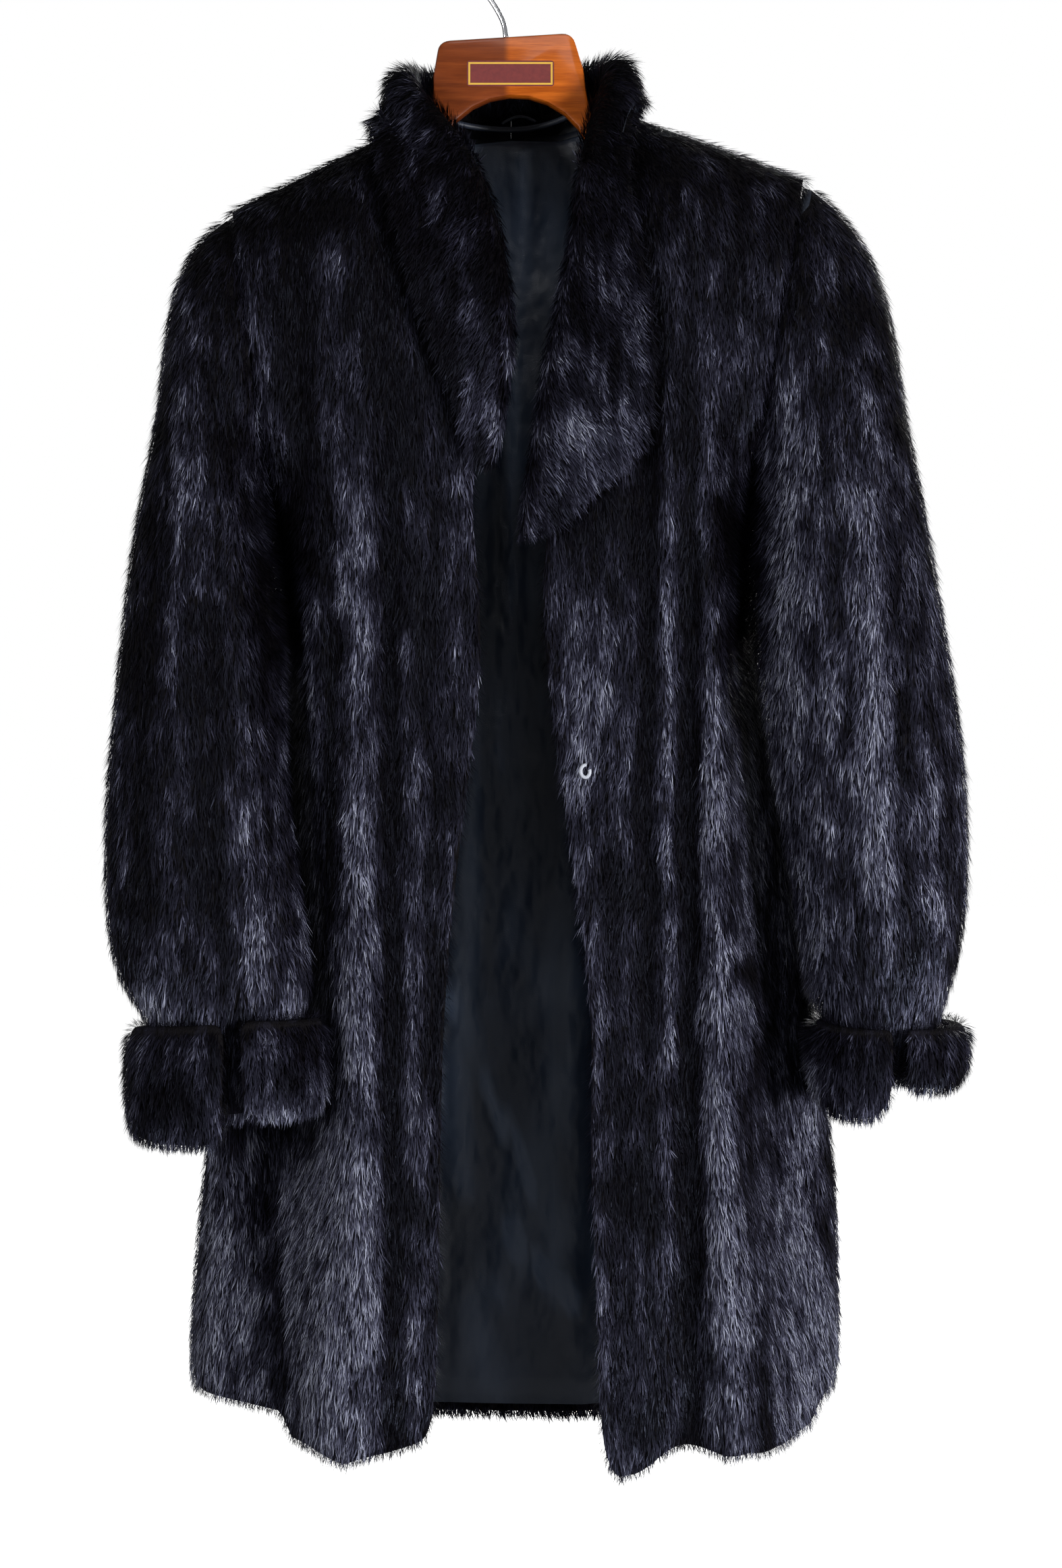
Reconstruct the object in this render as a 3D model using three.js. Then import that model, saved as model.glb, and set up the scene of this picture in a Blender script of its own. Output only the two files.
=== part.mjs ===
// An open fur coat with a shawl collar, hanging on a wooden coat hanger.
// Millimetres, +Z up. The coat faces -Y, and the wearer's left arm is at +X.
// The origin is the seat of the hanger's hook, where the wire rests on its rail.
// A "drop" is a distance below that seat, so a point's Z is minus its drop.
import * as THREE from "three";

// Walls and seams
const FUR_WALL = 10; // pelt and the hair that lies on it
const COLLAR_WALL = 11;
const CUFF_WALL = 11;
const LINING_WALL = 1.2;
const LINING_GAP = 2.6;
const SEAM_GAP = 0.4;
const UNDERARM_EASE = 4; // kept beside the side seam where it meets the armhole

// How finely each piece is divided
const ARM_ROWS = 8; // rows of a body panel beside the armhole
const LOWER_ROWS = 10; // rows from the underarm to the hem
const BODY_ROWS = ARM_ROWS + LOWER_ROWS;
const FRONT_COLUMNS = 16;
const BACK_COLUMNS = 22;
const SLEEVE_SIDES = 2 * ARM_ROWS;
const SLEEVE_RINGS = 15;
const CUFF_COLUMNS = 20;
const CUFF_ROWS = 3;

// Body
const CENTRE_X = 3; // the centre back seam
const ARMHOLE_HALF_DEPTH = 52;
const SHOULDER_ROWS = 3.2; // rows over which the shoulder turns from top to front
const SHOULDER_BREADTH = 0.75; // below 1, its top is broad and flat
const ROW_SPREAD = 1.35; // above 1, the rows of a panel lie closer at its top
const NECK_BACK_Y = 58;
const NECK_BACK_DROP = 126;
const EDGE_UNDERARM_DROP = 385;
const EDGE_HEM_DROP = 980;
const NECK_RIGHT = 8 / BACK_COLUMNS; // where the neck points lie across the back, from its right side
const NECK_LEFT = 14 / BACK_COLUMNS;
const SIDE_ROUND = [0.22, 0.6]; // how the panels round the side: part of the way in, part of the depth

const table = (columns, rows) =>
  rows.map((row) => Object.fromEntries(columns.map((name, i) => [name, row[i]])));

const LEVEL_COLUMNS = [
  "drop", "sideX", "sideY", "tuckX", "tuckY", "crestX", "crestY", "edgeX", "edgeY",
];
const FOLD_COLUMNS = ["topDrop", "topX", "endDrop", "endX", "depth", "halfWidth"];
const SLEEVE_COLUMNS = ["ring", "outX", "outDrop", "inX", "inDrop", "midY", "halfDepth"];
const CUFF_COLUMNS_OF_TABLE = ["angle", "top", "bottom"];
const LAPEL_COLUMNS = ["row", "stand", "width", "roll", "upright"];

// The wearer's right half: its sleeve hangs in front of the body's side
const RIGHT = {
  name: "right",
  sign: -1,
  neck: { x: -66, drop: 120 },
  tip: { x: -183, drop: 182 },
  underarm: { x: -153, drop: 377 },
  levels: table(LEVEL_COLUMNS, [
    [120, -183, 0, -150, -50, -112, -58, -66, -30],
    [131, -180, 0, -150, -51, -111, -58, -60, -32],
    [154, -176, 0, -149, -52, -110, -59, -40, -36],
    [200, -168, 0, -148, -54, -108, -60, -21, -42],
    [280, -160, 0, -148, -56, -105, -63, -10, -50],
    [377, -153, 0, -146, -34, -112, -64, -18, -50],
    [434, -148, 9, -144, -9, -114, -62, -12, -50],
    [480, -160, 30, -146, 8, -116, -60, -10, -50],
    [600, -186, 36, -146, 8, -106, -64, -24, -54],
    [740, -197, 38, -138, 6, -94, -68, -37, -58],
    [820, -207, 38, -142, 0, -95, -72, -37, -62],
    [900, -212, 35, -165, -22, -100, -79, -38, -66],
    [1000, -216, 32, -172, -40, -100, -88, -41, -72],
  ]),
  hem: table(["x", "drop"], [
    [-216, 975], [-172, 976], [-146, 978], [-136, 986], [-107, 1003], [-73, 991], [-48, 979], [-38, 968],
  ]),
  folds: table(FOLD_COLUMNS, [
    [300, -78, 1010, -72, 9, 12],
    [420, -116, 640, -113, 6, 11],
    [800, -160, 1010, -143, 14, 14],
    [450, -48, 720, -46, 4, 10],
  ]),
  sleeve: table(SLEEVE_COLUMNS, [
    [0, -183, 182, -153, 377, 0, 52],
    [1, -215, 213, -154, 392, -4, 54],
    [2, -226, 266, -154, 408, -12, 55],
    [3, -228, 314, -151, 432, -22, 54],
    [4, -238, 363, -148, 460, -32, 52],
    [5, -246, 416, -146, 492, -40, 50],
    [6, -252, 474, -144, 528, -46, 48],
    [7, -257, 531, -142, 566, -50, 47],
    [8, -262, 588, -137, 606, -52, 46],
    [9, -262, 637, -131, 648, -54, 46],
    [10, -258, 676, -125, 684, -56, 46],
    [11, -248, 706, -124, 706, -57, 43],
    [12, -227, 724, -137, 722, -58, 32],
    [13, -227, 784, -137, 776, -58, 32],
  ]),
  sleeveFolds: table(FOLD_COLUMNS, [
    [2.2, 78, 10.5, 96, 9, 17],
    [5, 135, 10, 140, 4, 15],
  ]),
  cuffSection: { outX: -246, inX: -117, midY: -58, halfDepth: 50, split: 97 },
  cuff: table(CUFF_COLUMNS_OF_TABLE, [
    [0, 722, 798], [60, 719, 802], [95, 718, 800], [99, 717, 776], [112, 716, 783], [150, 716, 782],
    [180, 716, 780], [230, 719, 786], [300, 722, 794], [360, 722, 798],
  ]),
  lapel: table(LAPEL_COLUMNS, [
    [0, 33, 27, 13.5, 1], [0.8, 28, 36, 13.5, 0.9], [1.8, 20, 52, 13.5, 0.3], [3, 17, 57, 13.5, 0],
    [4, 17, 55, 13.5, 0], [5, 17, 47, 13, 0], [6, 16, 31, 12, 0], [7, 13, 14, 9.5, 0], [7.5, 11, 7, 8, 0],
  ]),
};

// The wearer's left half: a fuller sleeve, clear of the front
const LEFT = {
  name: "left",
  sign: 1,
  neck: { x: 72, drop: 111 },
  tip: { x: 199, drop: 160 },
  underarm: { x: 161, drop: 360 },
  levels: table(LEVEL_COLUMNS, [
    [111, 199, 0, 163, -50, 125, -58, 72, -30],
    [157, 188, 0, 160, -52, 121, -59, 65, -36],
    [200, 180, 0, 158, -54, 118, -60, 61, -42],
    [280, 168, 0, 156, -56, 116, -63, 45, -50],
    [360, 161, 0, 155, -34, 124, -64, 30, -52],
    [420, 163, 18, 156, -4, 130, -64, 17, -52],
    [480, 170, 30, 159, 6, 132, -62, 21, -52],
    [600, 192, 38, 168, 8, 136, -66, 36, -56],
    [740, 214, 40, 178, 6, 140, -70, 52, -60],
    [820, 222, 38, 184, -6, 142, -76, 49, -64],
    [900, 224, 34, 190, -30, 146, -82, 53, -68],
    [1000, 223, 30, 196, -44, 150, -88, 58, -74],
  ]),
  hem: table(["x", "drop"], [
    [57, 975], [67, 1006], [80, 1011], [98, 996], [115, 990], [143, 1002], [167, 1002], [187, 994],
    [203, 988], [223, 984],
  ]),
  folds: table(FOLD_COLUMNS, [
    [270, 91, 680, 91, 6, 11],
    [330, 118, 1010, 119, 11, 14],
    [820, 60, 1010, 64, -5, 12],
  ]),
  sleeve: table(SLEEVE_COLUMNS, [
    [0, 199, 160, 161, 360, 0, 52],
    [1, 237, 196, 162, 376, -2, 56],
    [2, 253, 240, 162, 395, -6, 58],
    [3, 260, 281, 163, 420, -12, 58],
    [4, 264, 320, 163, 448, -18, 57],
    [5, 273, 364, 166, 480, -24, 55],
    [6, 280, 408, 169, 512, -28, 54],
    [7, 288, 454, 173, 544, -30, 53],
    [8, 296, 506, 178, 576, -32, 52],
    [9, 303, 556, 183, 608, -32, 52],
    [10, 305, 608, 189, 642, -30, 52],
    [11, 303, 656, 194, 674, -28, 51],
    [12, 296, 696, 198, 702, -26, 46],
    [13, 285, 718, 215, 718, -25, 32],
    [14, 284, 760, 216, 756, -25, 31],
  ]),
  sleeveFolds: table(FOLD_COLUMNS, [
    [2.5, 150, 8, 138, 6, 15],
    [3.5, 52, 10, 60, 4, 16],
  ]),
  cuffSection: { outX: 304, inX: 202.1, midY: -25, halfDepth: 46, split: 86 },
  cuff: table(CUFF_COLUMNS_OF_TABLE, [
    [0, 722, 762], [50, 724, 768], [84, 725, 766], [88, 725, 772], [110, 724, 788], [150, 722, 786],
    [180, 719, 776], [270, 719, 769], [360, 722, 762],
  ]),
  lapel: table(LAPEL_COLUMNS, [
    [0, 32, 20, 13.5, 1], [0.8, 27, 20, 13.5, 0.9], [1.8, 20, 22, 13.5, 0.3], [3, 17, 29, 13.5, 0],
    [4, 17, 42, 13.5, 0], [5, 17, 57, 13.5, 0], [6, 17, 66, 13.5, 0], [7, 16, 66, 12.5, 0],
    [7.9, 13, 38, 10.5, 0], [8.4, 8, 8, 6.5, 0],
  ]),
};

// The back, shared by both halves
const BACK_LEVELS = table(["drop", "bladeY", "neckY", "midY"], [
  [106, 52, 56, 58],
  [200, 60, 64, 62],
  [280, 64, 68, 66],
  [377, 66, 70, 68],
  [480, 68, 72, 70],
  [700, 75, 77, 75],
  [1000, 84, 84, 80],
]);
const BACK_HEM = table(["x", "drop"], [
  [-216, 975], [-150, 992], [-60, 1002], [3, 1004], [66, 1003], [150, 996], [223, 984],
]);
const BACK_FOLDS = table(FOLD_COLUMNS, [
  [560, -128, 1010, -134, 11, 18],
  [520, -52, 1010, -62, 9, 17],
  [560, 40, 1010, 46, 10, 18],
  [520, 118, 1010, 130, 11, 18],
]);
const BLADE_PART = 0.58; // how far out the shoulder blade lies, from centre to side

// Collar
const COLLAR_STAND = 43; // at the centre back
const COLLAR_FALL_ROWS = 2.4; // how far the collar falls down the back
const COLLAR_FALL_ACROSS = 0.06; // and along the shoulder, as a part of the back's width
const COLLAR_SPREAD = 2.5; // clear of the panel under it
const COLLAR_BACK_STATIONS = 6;
const COLLAR_SEAM_RISE = 1.3; // above the neck seam or beyond the front edge
const COLLAR_FALL_COLUMNS = 5;
const COLLAR_ROLL_STEPS = 4;

// Trim
const PIPING_RADIUS = 2.2;
const PIPING_SEAT = 0.75; // off the face of the neck seam
const PIPING_REACH = 0.55; // of the way from the centre back to each neck point
const LOOP_RISE = 5;
const LOOP_SPAN = 0.13; // as a part of the neck's width
const LOOP_PLACE = 0.53;
const LOOP_BAND = 2.4;

// Hanger
const HANGER_TILT = THREE.MathUtils.degToRad(3.5);
const HANGER_THICKNESS = 14;
const HANGER_BEVEL = 2;
const HUB_TOP_DROP = 70;
const HUB_TOP_HALF = 44;
const HUB_FOOT_HALF = 49;
const HUB_FOOT_DEPTH = 24;
const HUB_CORNER = 7;
const ARM_ROOT_HALF = 60;
const ARM_ROOT_DIP = 8;
const ARM_CLEARANCE = 3.5; // under the ridge of the shoulder, so that the arm's edges just touch
const ARM_TIP_SHORT = 15; // arm's end to the armhole
const ARM_TIP_HEIGHT = 16;
const ARCH_CENTRE_DEPTH = 92;
const ARCH_RADIUS = 55;
const WIRE_RADIUS = 1.9;
const HOOK_INNER_RADIUS = 21.1;

// The wire eye of the closure
const EYE = { x: 52, drop: 558.7, halfHeight: 4.2, halfWidth: 3.1, wire: 1.2 };

const mix = (a, b, part) => a + (b - a) * part;
const clamp01 = (value) => Math.min(1, Math.max(0, value));
const smooth = (value) => clamp01(value) ** 2 * (3 - 2 * clamp01(value));
const point = (x, y, drop) => new THREE.Vector3(x, y, -drop);

// Slope of a column at row i, levelled where the column turns, so that no curve overshoots
function slopeAt(rows, key, column, i) {
  const rise = (from) =>
    (rows[from + 1][column] - rows[from][column]) / (rows[from + 1][key] - rows[from][key]);
  if (i === 0) return rise(0);
  if (i === rows.length - 1) return rise(i - 1);
  const before = rise(i - 1);
  const after = rise(i);
  return before * after <= 0 ? 0 : (2 * before * after) / (before + after);
}

// A column of a table, read on a smooth curve through its rows
function read(rows, key, at, column) {
  let i = 0;
  while (i < rows.length - 2 && at > rows[i + 1][key]) i += 1;
  const span = rows[i + 1][key] - rows[i][key];
  const t = clamp01((at - rows[i][key]) / span);
  const startSlope = slopeAt(rows, key, column, i) * span;
  const endSlope = slopeAt(rows, key, column, i + 1) * span;
  const start = rows[i][column];
  const end = rows[i + 1][column];
  return (
    start * (2 * t ** 3 - 3 * t ** 2 + 1) +
    startSlope * (t ** 3 - 2 * t ** 2 + t) +
    end * (3 * t ** 2 - 2 * t ** 3) +
    endSlope * (t ** 3 - t ** 2)
  );
}

// How deep all folds press in at a place across (x or an angle) and a place along
function foldDepth(folds, across, along) {
  return folds.reduce((sum, fold) => {
    const length = fold.endDrop - fold.topDrop;
    const part = (along - fold.topDrop) / length;
    if (part <= 0) return sum;
    const centre = mix(fold.topX, fold.endX, clamp01(part));
    const fade = smooth(part / 0.25) * (1 - smooth((part - 1) / 0.15));
    return sum + fold.depth * fade * Math.exp(-(((across - centre) / fold.halfWidth) ** 2));
  }, 0);
}

// A closed wall between an outer and an inner grid of points
function wall(outer, inner, closedAround = false) {
  const rows = outer.length;
  const columns = outer[0].length;
  const positions = [...outer.flat(), ...inner.flat()].flatMap((p) => [p.x, p.y, p.z]);
  const outside = (r, c) => r * columns + (c % columns);
  const inside = (r, c) => rows * columns + outside(r, c);
  const faces = [];
  const quad = (a, b, c, d) => faces.push(a, b, c, a, c, d);
  const columnSteps = closedAround ? columns : columns - 1;
  for (let r = 0; r < rows - 1; r += 1) {
    for (let c = 0; c < columnSteps; c += 1) {
      quad(outside(r, c), outside(r, c + 1), outside(r + 1, c + 1), outside(r + 1, c));
      quad(inside(r, c), inside(r + 1, c), inside(r + 1, c + 1), inside(r, c + 1));
    }
    if (!closedAround) {
      const last = columns - 1;
      quad(outside(r, 0), outside(r + 1, 0), inside(r + 1, 0), inside(r, 0));
      quad(outside(r + 1, last), outside(r, last), inside(r, last), inside(r + 1, last));
    }
  }
  for (let c = 0; c < columnSteps; c += 1) {
    const end = rows - 1;
    quad(outside(0, c + 1), outside(0, c), inside(0, c), inside(0, c + 1));
    quad(outside(end, c), outside(end, c + 1), inside(end, c + 1), inside(end, c));
  }
  const geometry = new THREE.BufferGeometry();
  geometry.setAttribute("position", new THREE.Float32BufferAttribute(positions, 3));
  geometry.setIndex(signedVolume(positions, faces) > 0 ? faces : faces.reverse());
  geometry.computeVertexNormals();
  return geometry;
}

function signedVolume(positions, faces) {
  const corner = (i) => new THREE.Vector3().fromArray(positions, 3 * i);
  let volume = 0;
  for (let i = 0; i < faces.length; i += 3) {
    const [a, b, c] = [corner(faces[i]), corner(faces[i + 1]), corner(faces[i + 2])];
    volume += a.dot(b.cross(c)) / 6;
  }
  return volume;
}

// The armhole is an ellipse in a plane, from the shoulder tip (0) to the underarm (pi).
// inset moves the point towards its middle.
function armholePoint(side, angle, inset) {
  const halfX = (side.tip.x - side.underarm.x) / 2;
  const halfDrop = (side.tip.drop - side.underarm.drop) / 2;
  const keepLong = 1 - inset / Math.hypot(halfX, halfDrop);
  const keepDeep = 1 - inset / ARMHOLE_HALF_DEPTH;
  return point(
    side.underarm.x + halfX + halfX * Math.cos(angle) * keepLong,
    -ARMHOLE_HALF_DEPTH * Math.sin(angle) * keepDeep,
    side.underarm.drop + halfDrop + halfDrop * Math.cos(angle) * keepLong,
  );
}

const armAngle = (row) => (Math.PI * Math.min(row, ARM_ROWS)) / ARM_ROWS;
const lowerPart = (row) => clamp01((row - ARM_ROWS) / LOWER_ROWS);

// Drop of a body panel's row where it meets the armhole or side seam
function sideDrop(side, row) {
  if (row <= ARM_ROWS) return -armholePoint(side, armAngle(row), 0).z;
  return mix(side.underarm.drop, side.hem[side.sign < 0 ? 0 : side.hem.length - 1].drop, lowerPart(row));
}

// The side end of a row: on the armhole, or down the side seam. facing is -1 in front, 1 behind.
function sidePoint(side, facing, row, inset) {
  const seam = (facing * SEAM_GAP) / 2;
  if (row <= ARM_ROWS) {
    const onArmhole = armholePoint(side, -facing * armAngle(row), inset);
    onArmhole.y += row < 1 || row > ARM_ROWS - 1 ? seam : 0;
    return onArmhole;
  }
  const drop = sideDrop(side, row);
  const x = read(side.levels, "drop", drop, "sideX") - side.sign * inset;
  return point(x, read(side.levels, "drop", drop, "sideY") + seam, drop);
}

// A point part of the way along a smooth curve through knots [x, y], measured along the curve
function alongCurve(knots, part) {
  const rows = knots.map(([x, y], i) => ({ knot: i, x, y }));
  const at = (t) => [read(rows, "knot", t, "x"), read(rows, "knot", t, "y")];
  const steps = 8 * (knots.length - 1);
  const lengths = [0];
  for (let i = 1; i <= steps; i += 1) {
    const [a, b] = [at(((i - 1) * (knots.length - 1)) / steps), at((i * (knots.length - 1)) / steps)];
    lengths.push(lengths[i - 1] + Math.hypot(b[0] - a[0], b[1] - a[1]));
  }
  const wanted = clamp01(part) * lengths[steps];
  let i = 0;
  while (i < steps - 1 && wanted > lengths[i + 1]) i += 1;
  const within = (wanted - lengths[i]) / (lengths[i + 1] - lengths[i]);
  return at(((i + within) * (knots.length - 1)) / steps);
}

// How far a row has turned over the shoulder, from 0 on the seam to 1
const shoulderTurn = (row) =>
  Math.sin((Math.PI / 2) * clamp01(row / SHOULDER_ROWS)) ** SHOULDER_BREADTH;

// Drop of a row at the front edge or the middle of the back, above the hem
const middlePart = (row) => Math.min(1, row / ARM_ROWS) ** ROW_SPREAD;

// Outer surface of a front, from the side (0) to the front edge (1)
function frontPoint(side, across, row) {
  const end = sidePoint(side, -1, row, 0);
  const edgeDrop =
    row <= ARM_ROWS
      ? mix(side.neck.drop, EDGE_UNDERARM_DROP, middlePart(row))
      : mix(EDGE_UNDERARM_DROP, EDGE_HEM_DROP, lowerPart(row));
  const middleDrop = mix(-end.z, edgeDrop, 0.4);
  const turn = shoulderTurn(row);
  const level = (column, drop) => read(side.levels, "drop", drop, column);
  const tuck = [level("tuckX", middleDrop), level("tuckY", middleDrop) * turn];
  const knots = [
    [end.x, end.y],
    [mix(end.x, tuck[0], SIDE_ROUND[0]), mix(end.y, tuck[1], SIDE_ROUND[1])],
    tuck,
    [level("crestX", middleDrop), level("crestY", middleDrop) * turn],
    [level("edgeX", edgeDrop), level("edgeY", edgeDrop) * turn],
  ];
  const [x, flatY] = alongCurve(knots, across);
  const acrossX = (x - end.x) / (level("edgeX", edgeDrop) - end.x);
  const hemDrop = read(side.hem, "x", x, "drop");
  const sideRowDrop = -end.z;
  const levelDrop = mix(sideRowDrop, edgeDrop, acrossX);
  const hemShift = hemDrop - mix(sideDrop(side, BODY_ROWS), EDGE_HEM_DROP, acrossX);
  const drop = levelDrop + hemShift * lowerPart(row);
  const press = foldDepth(side.folds, x, drop) * smooth(across / 0.12);
  return point(x, flatY - (turn < 0.01 ? SEAM_GAP / 2 : 0) + press, drop);
}

// Outer surface of the back, from the right side (0) to the left side (1)
function backPoint(across, row) {
  const ends = [sidePoint(RIGHT, 1, row, 0), sidePoint(LEFT, 1, row, 0)];
  const turn = shoulderTurn(row);
  const middleDrop = mix(NECK_BACK_DROP, 1000, row / BODY_ROWS);
  const level = (column) => read(BACK_LEVELS, "drop", middleDrop, column);
  const blade = (end) => [mix(CENTRE_X, end.x, BLADE_PART), level("bladeY") * turn];
  const rounded = (end) => [
    mix(end.x, blade(end)[0], SIDE_ROUND[0]),
    mix(end.y, blade(end)[1], SIDE_ROUND[1]),
  ];
  const knots = [
    [ends[0].x, ends[0].y],
    rounded(ends[0]),
    blade(ends[0]),
    [RIGHT.neck.x, level("neckY") * turn],
    [CENTRE_X, level("midY") * turn],
    [LEFT.neck.x, level("neckY") * turn],
    blade(ends[1]),
    rounded(ends[1]),
    [ends[1].x, ends[1].y],
  ];
  let [x, flatY] = alongCurve(knots, backPart(knots, across));
  if (across > NECK_RIGHT && across < NECK_LEFT) {
    const angle = (Math.PI * (across - NECK_RIGHT)) / (NECK_LEFT - NECK_RIGHT);
    const neckX = (across < 0.5 ? RIGHT : LEFT).neck.x;
    x = mix(mix(CENTRE_X, neckX, Math.abs(Math.cos(angle))), x, turn);
    flatY += NECK_BACK_Y * Math.sin(angle) * (1 - turn);
  }
  const drop = backDrop(x, row, ends);
  const away = Math.min(across, 1 - across);
  const press = foldDepth(BACK_FOLDS, x, drop) * smooth(away / 0.08);
  return point(x, Math.max(flatY, SEAM_GAP / 2) - press, drop);
}

// Columns of the back are shared out so that two of them always stand on the neck points
function backPart(knots, across) {
  const rows = knots.map(([x, y], i) => ({ knot: i, x, y }));
  const measure = (from, to) => {
    let sum = 0;
    for (let i = 0; i < 8 * (to - from); i += 1) {
      const [a, b] = [from + i / 8, from + (i + 1) / 8];
      sum += Math.hypot(
        read(rows, "knot", b, "x") - read(rows, "knot", a, "x"),
        read(rows, "knot", b, "y") - read(rows, "knot", a, "y"),
      );
    }
    return sum;
  };
  const lengths = [measure(0, 3), measure(3, 5), measure(5, 8)];
  const total = lengths[0] + lengths[1] + lengths[2];
  if (across < NECK_RIGHT) return ((across / NECK_RIGHT) * lengths[0]) / total;
  if (across <= NECK_LEFT) {
    return (lengths[0] + ((across - NECK_RIGHT) / (NECK_LEFT - NECK_RIGHT)) * lengths[1]) / total;
  }
  return (lengths[0] + lengths[1] + ((across - NECK_LEFT) / (1 - NECK_LEFT)) * lengths[2]) / total;
}

// Drop of the back at x on a row: straight shoulders, a dipped neck, then level to the hem
function backDrop(x, row, ends) {
  const side = x < CENTRE_X ? RIGHT : LEFT;
  const end = x < CENTRE_X ? ends[0] : ends[1];
  const neckPart = clamp01((x - CENTRE_X) / (side.neck.x - CENTRE_X));
  const shoulderPart = clamp01((x - side.neck.x) / (end.x - side.neck.x));
  const neckDrop = mix(NECK_BACK_DROP, side.neck.drop, neckPart ** 2);
  const rowNeckDrop = mix(neckDrop, EDGE_UNDERARM_DROP, middlePart(row));
  const topDrop = mix(rowNeckDrop, -end.z, shoulderPart);
  if (row <= ARM_ROWS) return topDrop;
  const underarmDrop = mix(EDGE_UNDERARM_DROP, side.underarm.drop, shoulderPart);
  return mix(underarmDrop, read(BACK_HEM, "x", x, "drop"), lowerPart(row));
}

// Outward normal of a surface given by a function of across and row
function normalAt(surface, across, row, facing) {
  const step = 0.02;
  const alongRow = surface(Math.min(1, across + step), row).sub(surface(Math.max(0, across - step), row));
  const downRows = surface(across, Math.min(BODY_ROWS, row + step)).sub(
    surface(across, Math.max(0, row - step)),
  );
  const normal = alongRow.cross(downRows).normalize();
  return normal.dot(new THREE.Vector3(0, facing, 0)) < 0 ? normal.negate() : normal;
}

// A body panel's point, set in from the outer surface. On its seams it is set in within the
// seam's own plane, so that two pieces meet face to face.
function frontInset(side, across, row, inset) {
  if (across === 0) return sidePoint(side, -1, row, inset);
  const outer = frontPoint(side, across, row);
  if (row === 0) return outer.addScaledVector(shoulderNormal(side), -inset);
  outer.addScaledVector(normalAt((a, r) => frontPoint(side, a, r), across, row, -1), -inset);
  outer.y = Math.min(outer.y, seamY(side, row) - seamEase(row));
  return outer;
}

// How far the walls beside that seam keep off it
const seamEase = (row) => (row === ARM_ROWS ? UNDERARM_EASE : 2 * SEAM_GAP);

// The seam between front and back lies at this y: the shoulder seam, then the side seam
const seamY = (side, row) => (row <= ARM_ROWS ? 0 : read(side.levels, "drop", sideDrop(side, row), "sideY"));

function backInset(across, row, inset) {
  if (across === 0) return sidePoint(RIGHT, 1, row, inset);
  if (across === 1) return sidePoint(LEFT, 1, row, inset);
  const outer = backPoint(across, row);
  if (row === 0 && across <= NECK_RIGHT) return outer.addScaledVector(shoulderNormal(RIGHT), -inset);
  if (row === 0 && across >= NECK_LEFT) return outer.addScaledVector(shoulderNormal(LEFT), -inset);
  outer.addScaledVector(normalAt(backPoint, across, row, 1), -inset);
  outer.y = Math.max(outer.y, seamY(across < 0.5 ? RIGHT : LEFT, row) + seamEase(row));
  return outer;
}

// Square to the shoulder seam, upwards
function shoulderNormal(side) {
  const run = Math.abs(side.tip.x - side.neck.x);
  const fall = side.tip.drop - side.neck.drop;
  return new THREE.Vector3(side.sign * fall, 0, run).normalize();
}

const range = (count) => Array.from({ length: count }, (unused, i) => i);
const gridOf = (rowValues, columnCount, at) =>
  rowValues.map((row) => range(columnCount + 1).map((c) => at(c / columnCount, row)));

const ALL_ROWS = range(BODY_ROWS + 1);

function frontWall(side, rows, from, thickness) {
  const gridAt = (inset) => gridOf(rows, FRONT_COLUMNS, (a, r) => frontInset(side, a, r, inset));
  return wall(gridAt(from), gridAt(from + thickness));
}

function backWall(rows, from, thickness) {
  const gridAt = (inset) => gridOf(rows, BACK_COLUMNS, (a, r) => backInset(a, r, inset));
  return wall(gridAt(from), gridAt(from + thickness));
}

// A sleeve is a stack of flattened rings. Ring 0 is the armhole, and the last is the wrist.
function sleevePoint(side, ring, angle, inset) {
  const value = (column) => read(side.sleeve, "ring", ring, column);
  const halfX = (value("outX") - value("inX")) / 2;
  const halfDrop = (value("outDrop") - value("inDrop")) / 2;
  const degrees = THREE.MathUtils.radToDeg(angle);
  const setIn = inset + foldDepth(side.sleeveFolds, degrees, ring);
  const keepLong = 1 - setIn / Math.hypot(halfX, halfDrop);
  const keepDeep = 1 - setIn / value("halfDepth");
  return point(
    value("inX") + halfX + halfX * Math.cos(angle) * keepLong,
    value("midY") - value("halfDepth") * Math.sin(angle) * keepDeep,
    value("inDrop") + halfDrop + halfDrop * Math.cos(angle) * keepLong,
  );
}

function sleeveWall(side) {
  const lastRing = side.sleeve[side.sleeve.length - 1].ring;
  const gridAt = (inset) =>
    range(SLEEVE_RINGS + 1).map((i) =>
      range(SLEEVE_SIDES).map((c) => {
        const ring = (i / SLEEVE_RINGS) * lastRing;
        const onSleeve = sleevePoint(side, ring, (2 * Math.PI * c) / SLEEVE_SIDES, inset);
        onSleeve.x += side.sign * SEAM_GAP;
        return onSleeve;
      }),
    );
  return wall(gridAt(0), gridAt(FUR_WALL), true);
}

// A cuff is a band turned back round the sleeve's end, split where its flap starts
function cuffWall(side) {
  const { outX, inX, midY, halfDepth, split } = side.cuffSection;
  const gridAt = (inset) =>
    range(CUFF_ROWS + 1).map((r) =>
      range(CUFF_COLUMNS + 1).map((c) => {
        const down = r / CUFF_ROWS;
        const gap = 2 + 2.5 * down;
        const degrees = split + gap + ((360 - 2 * gap) * c) / CUFF_COLUMNS;
        const angle = THREE.MathUtils.degToRad(degrees);
        const turned = degrees > 360 ? degrees - 360 : degrees;
        const drop = mix(
          read(side.cuff, "angle", turned, "top"),
          read(side.cuff, "angle", turned, "bottom"),
          down,
        );
        const puff = 3 * Math.sin(Math.PI * down) - 2 * down - inset;
        const halfX = (outX - inX) / 2;
        return point(
          inX + halfX + (halfX + side.sign * puff) * Math.cos(angle),
          midY - (halfDepth + puff) * Math.sin(angle),
          drop,
        );
      }),
    );
  return wall(gridAt(0), gridAt(CUFF_WALL));
}

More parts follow.
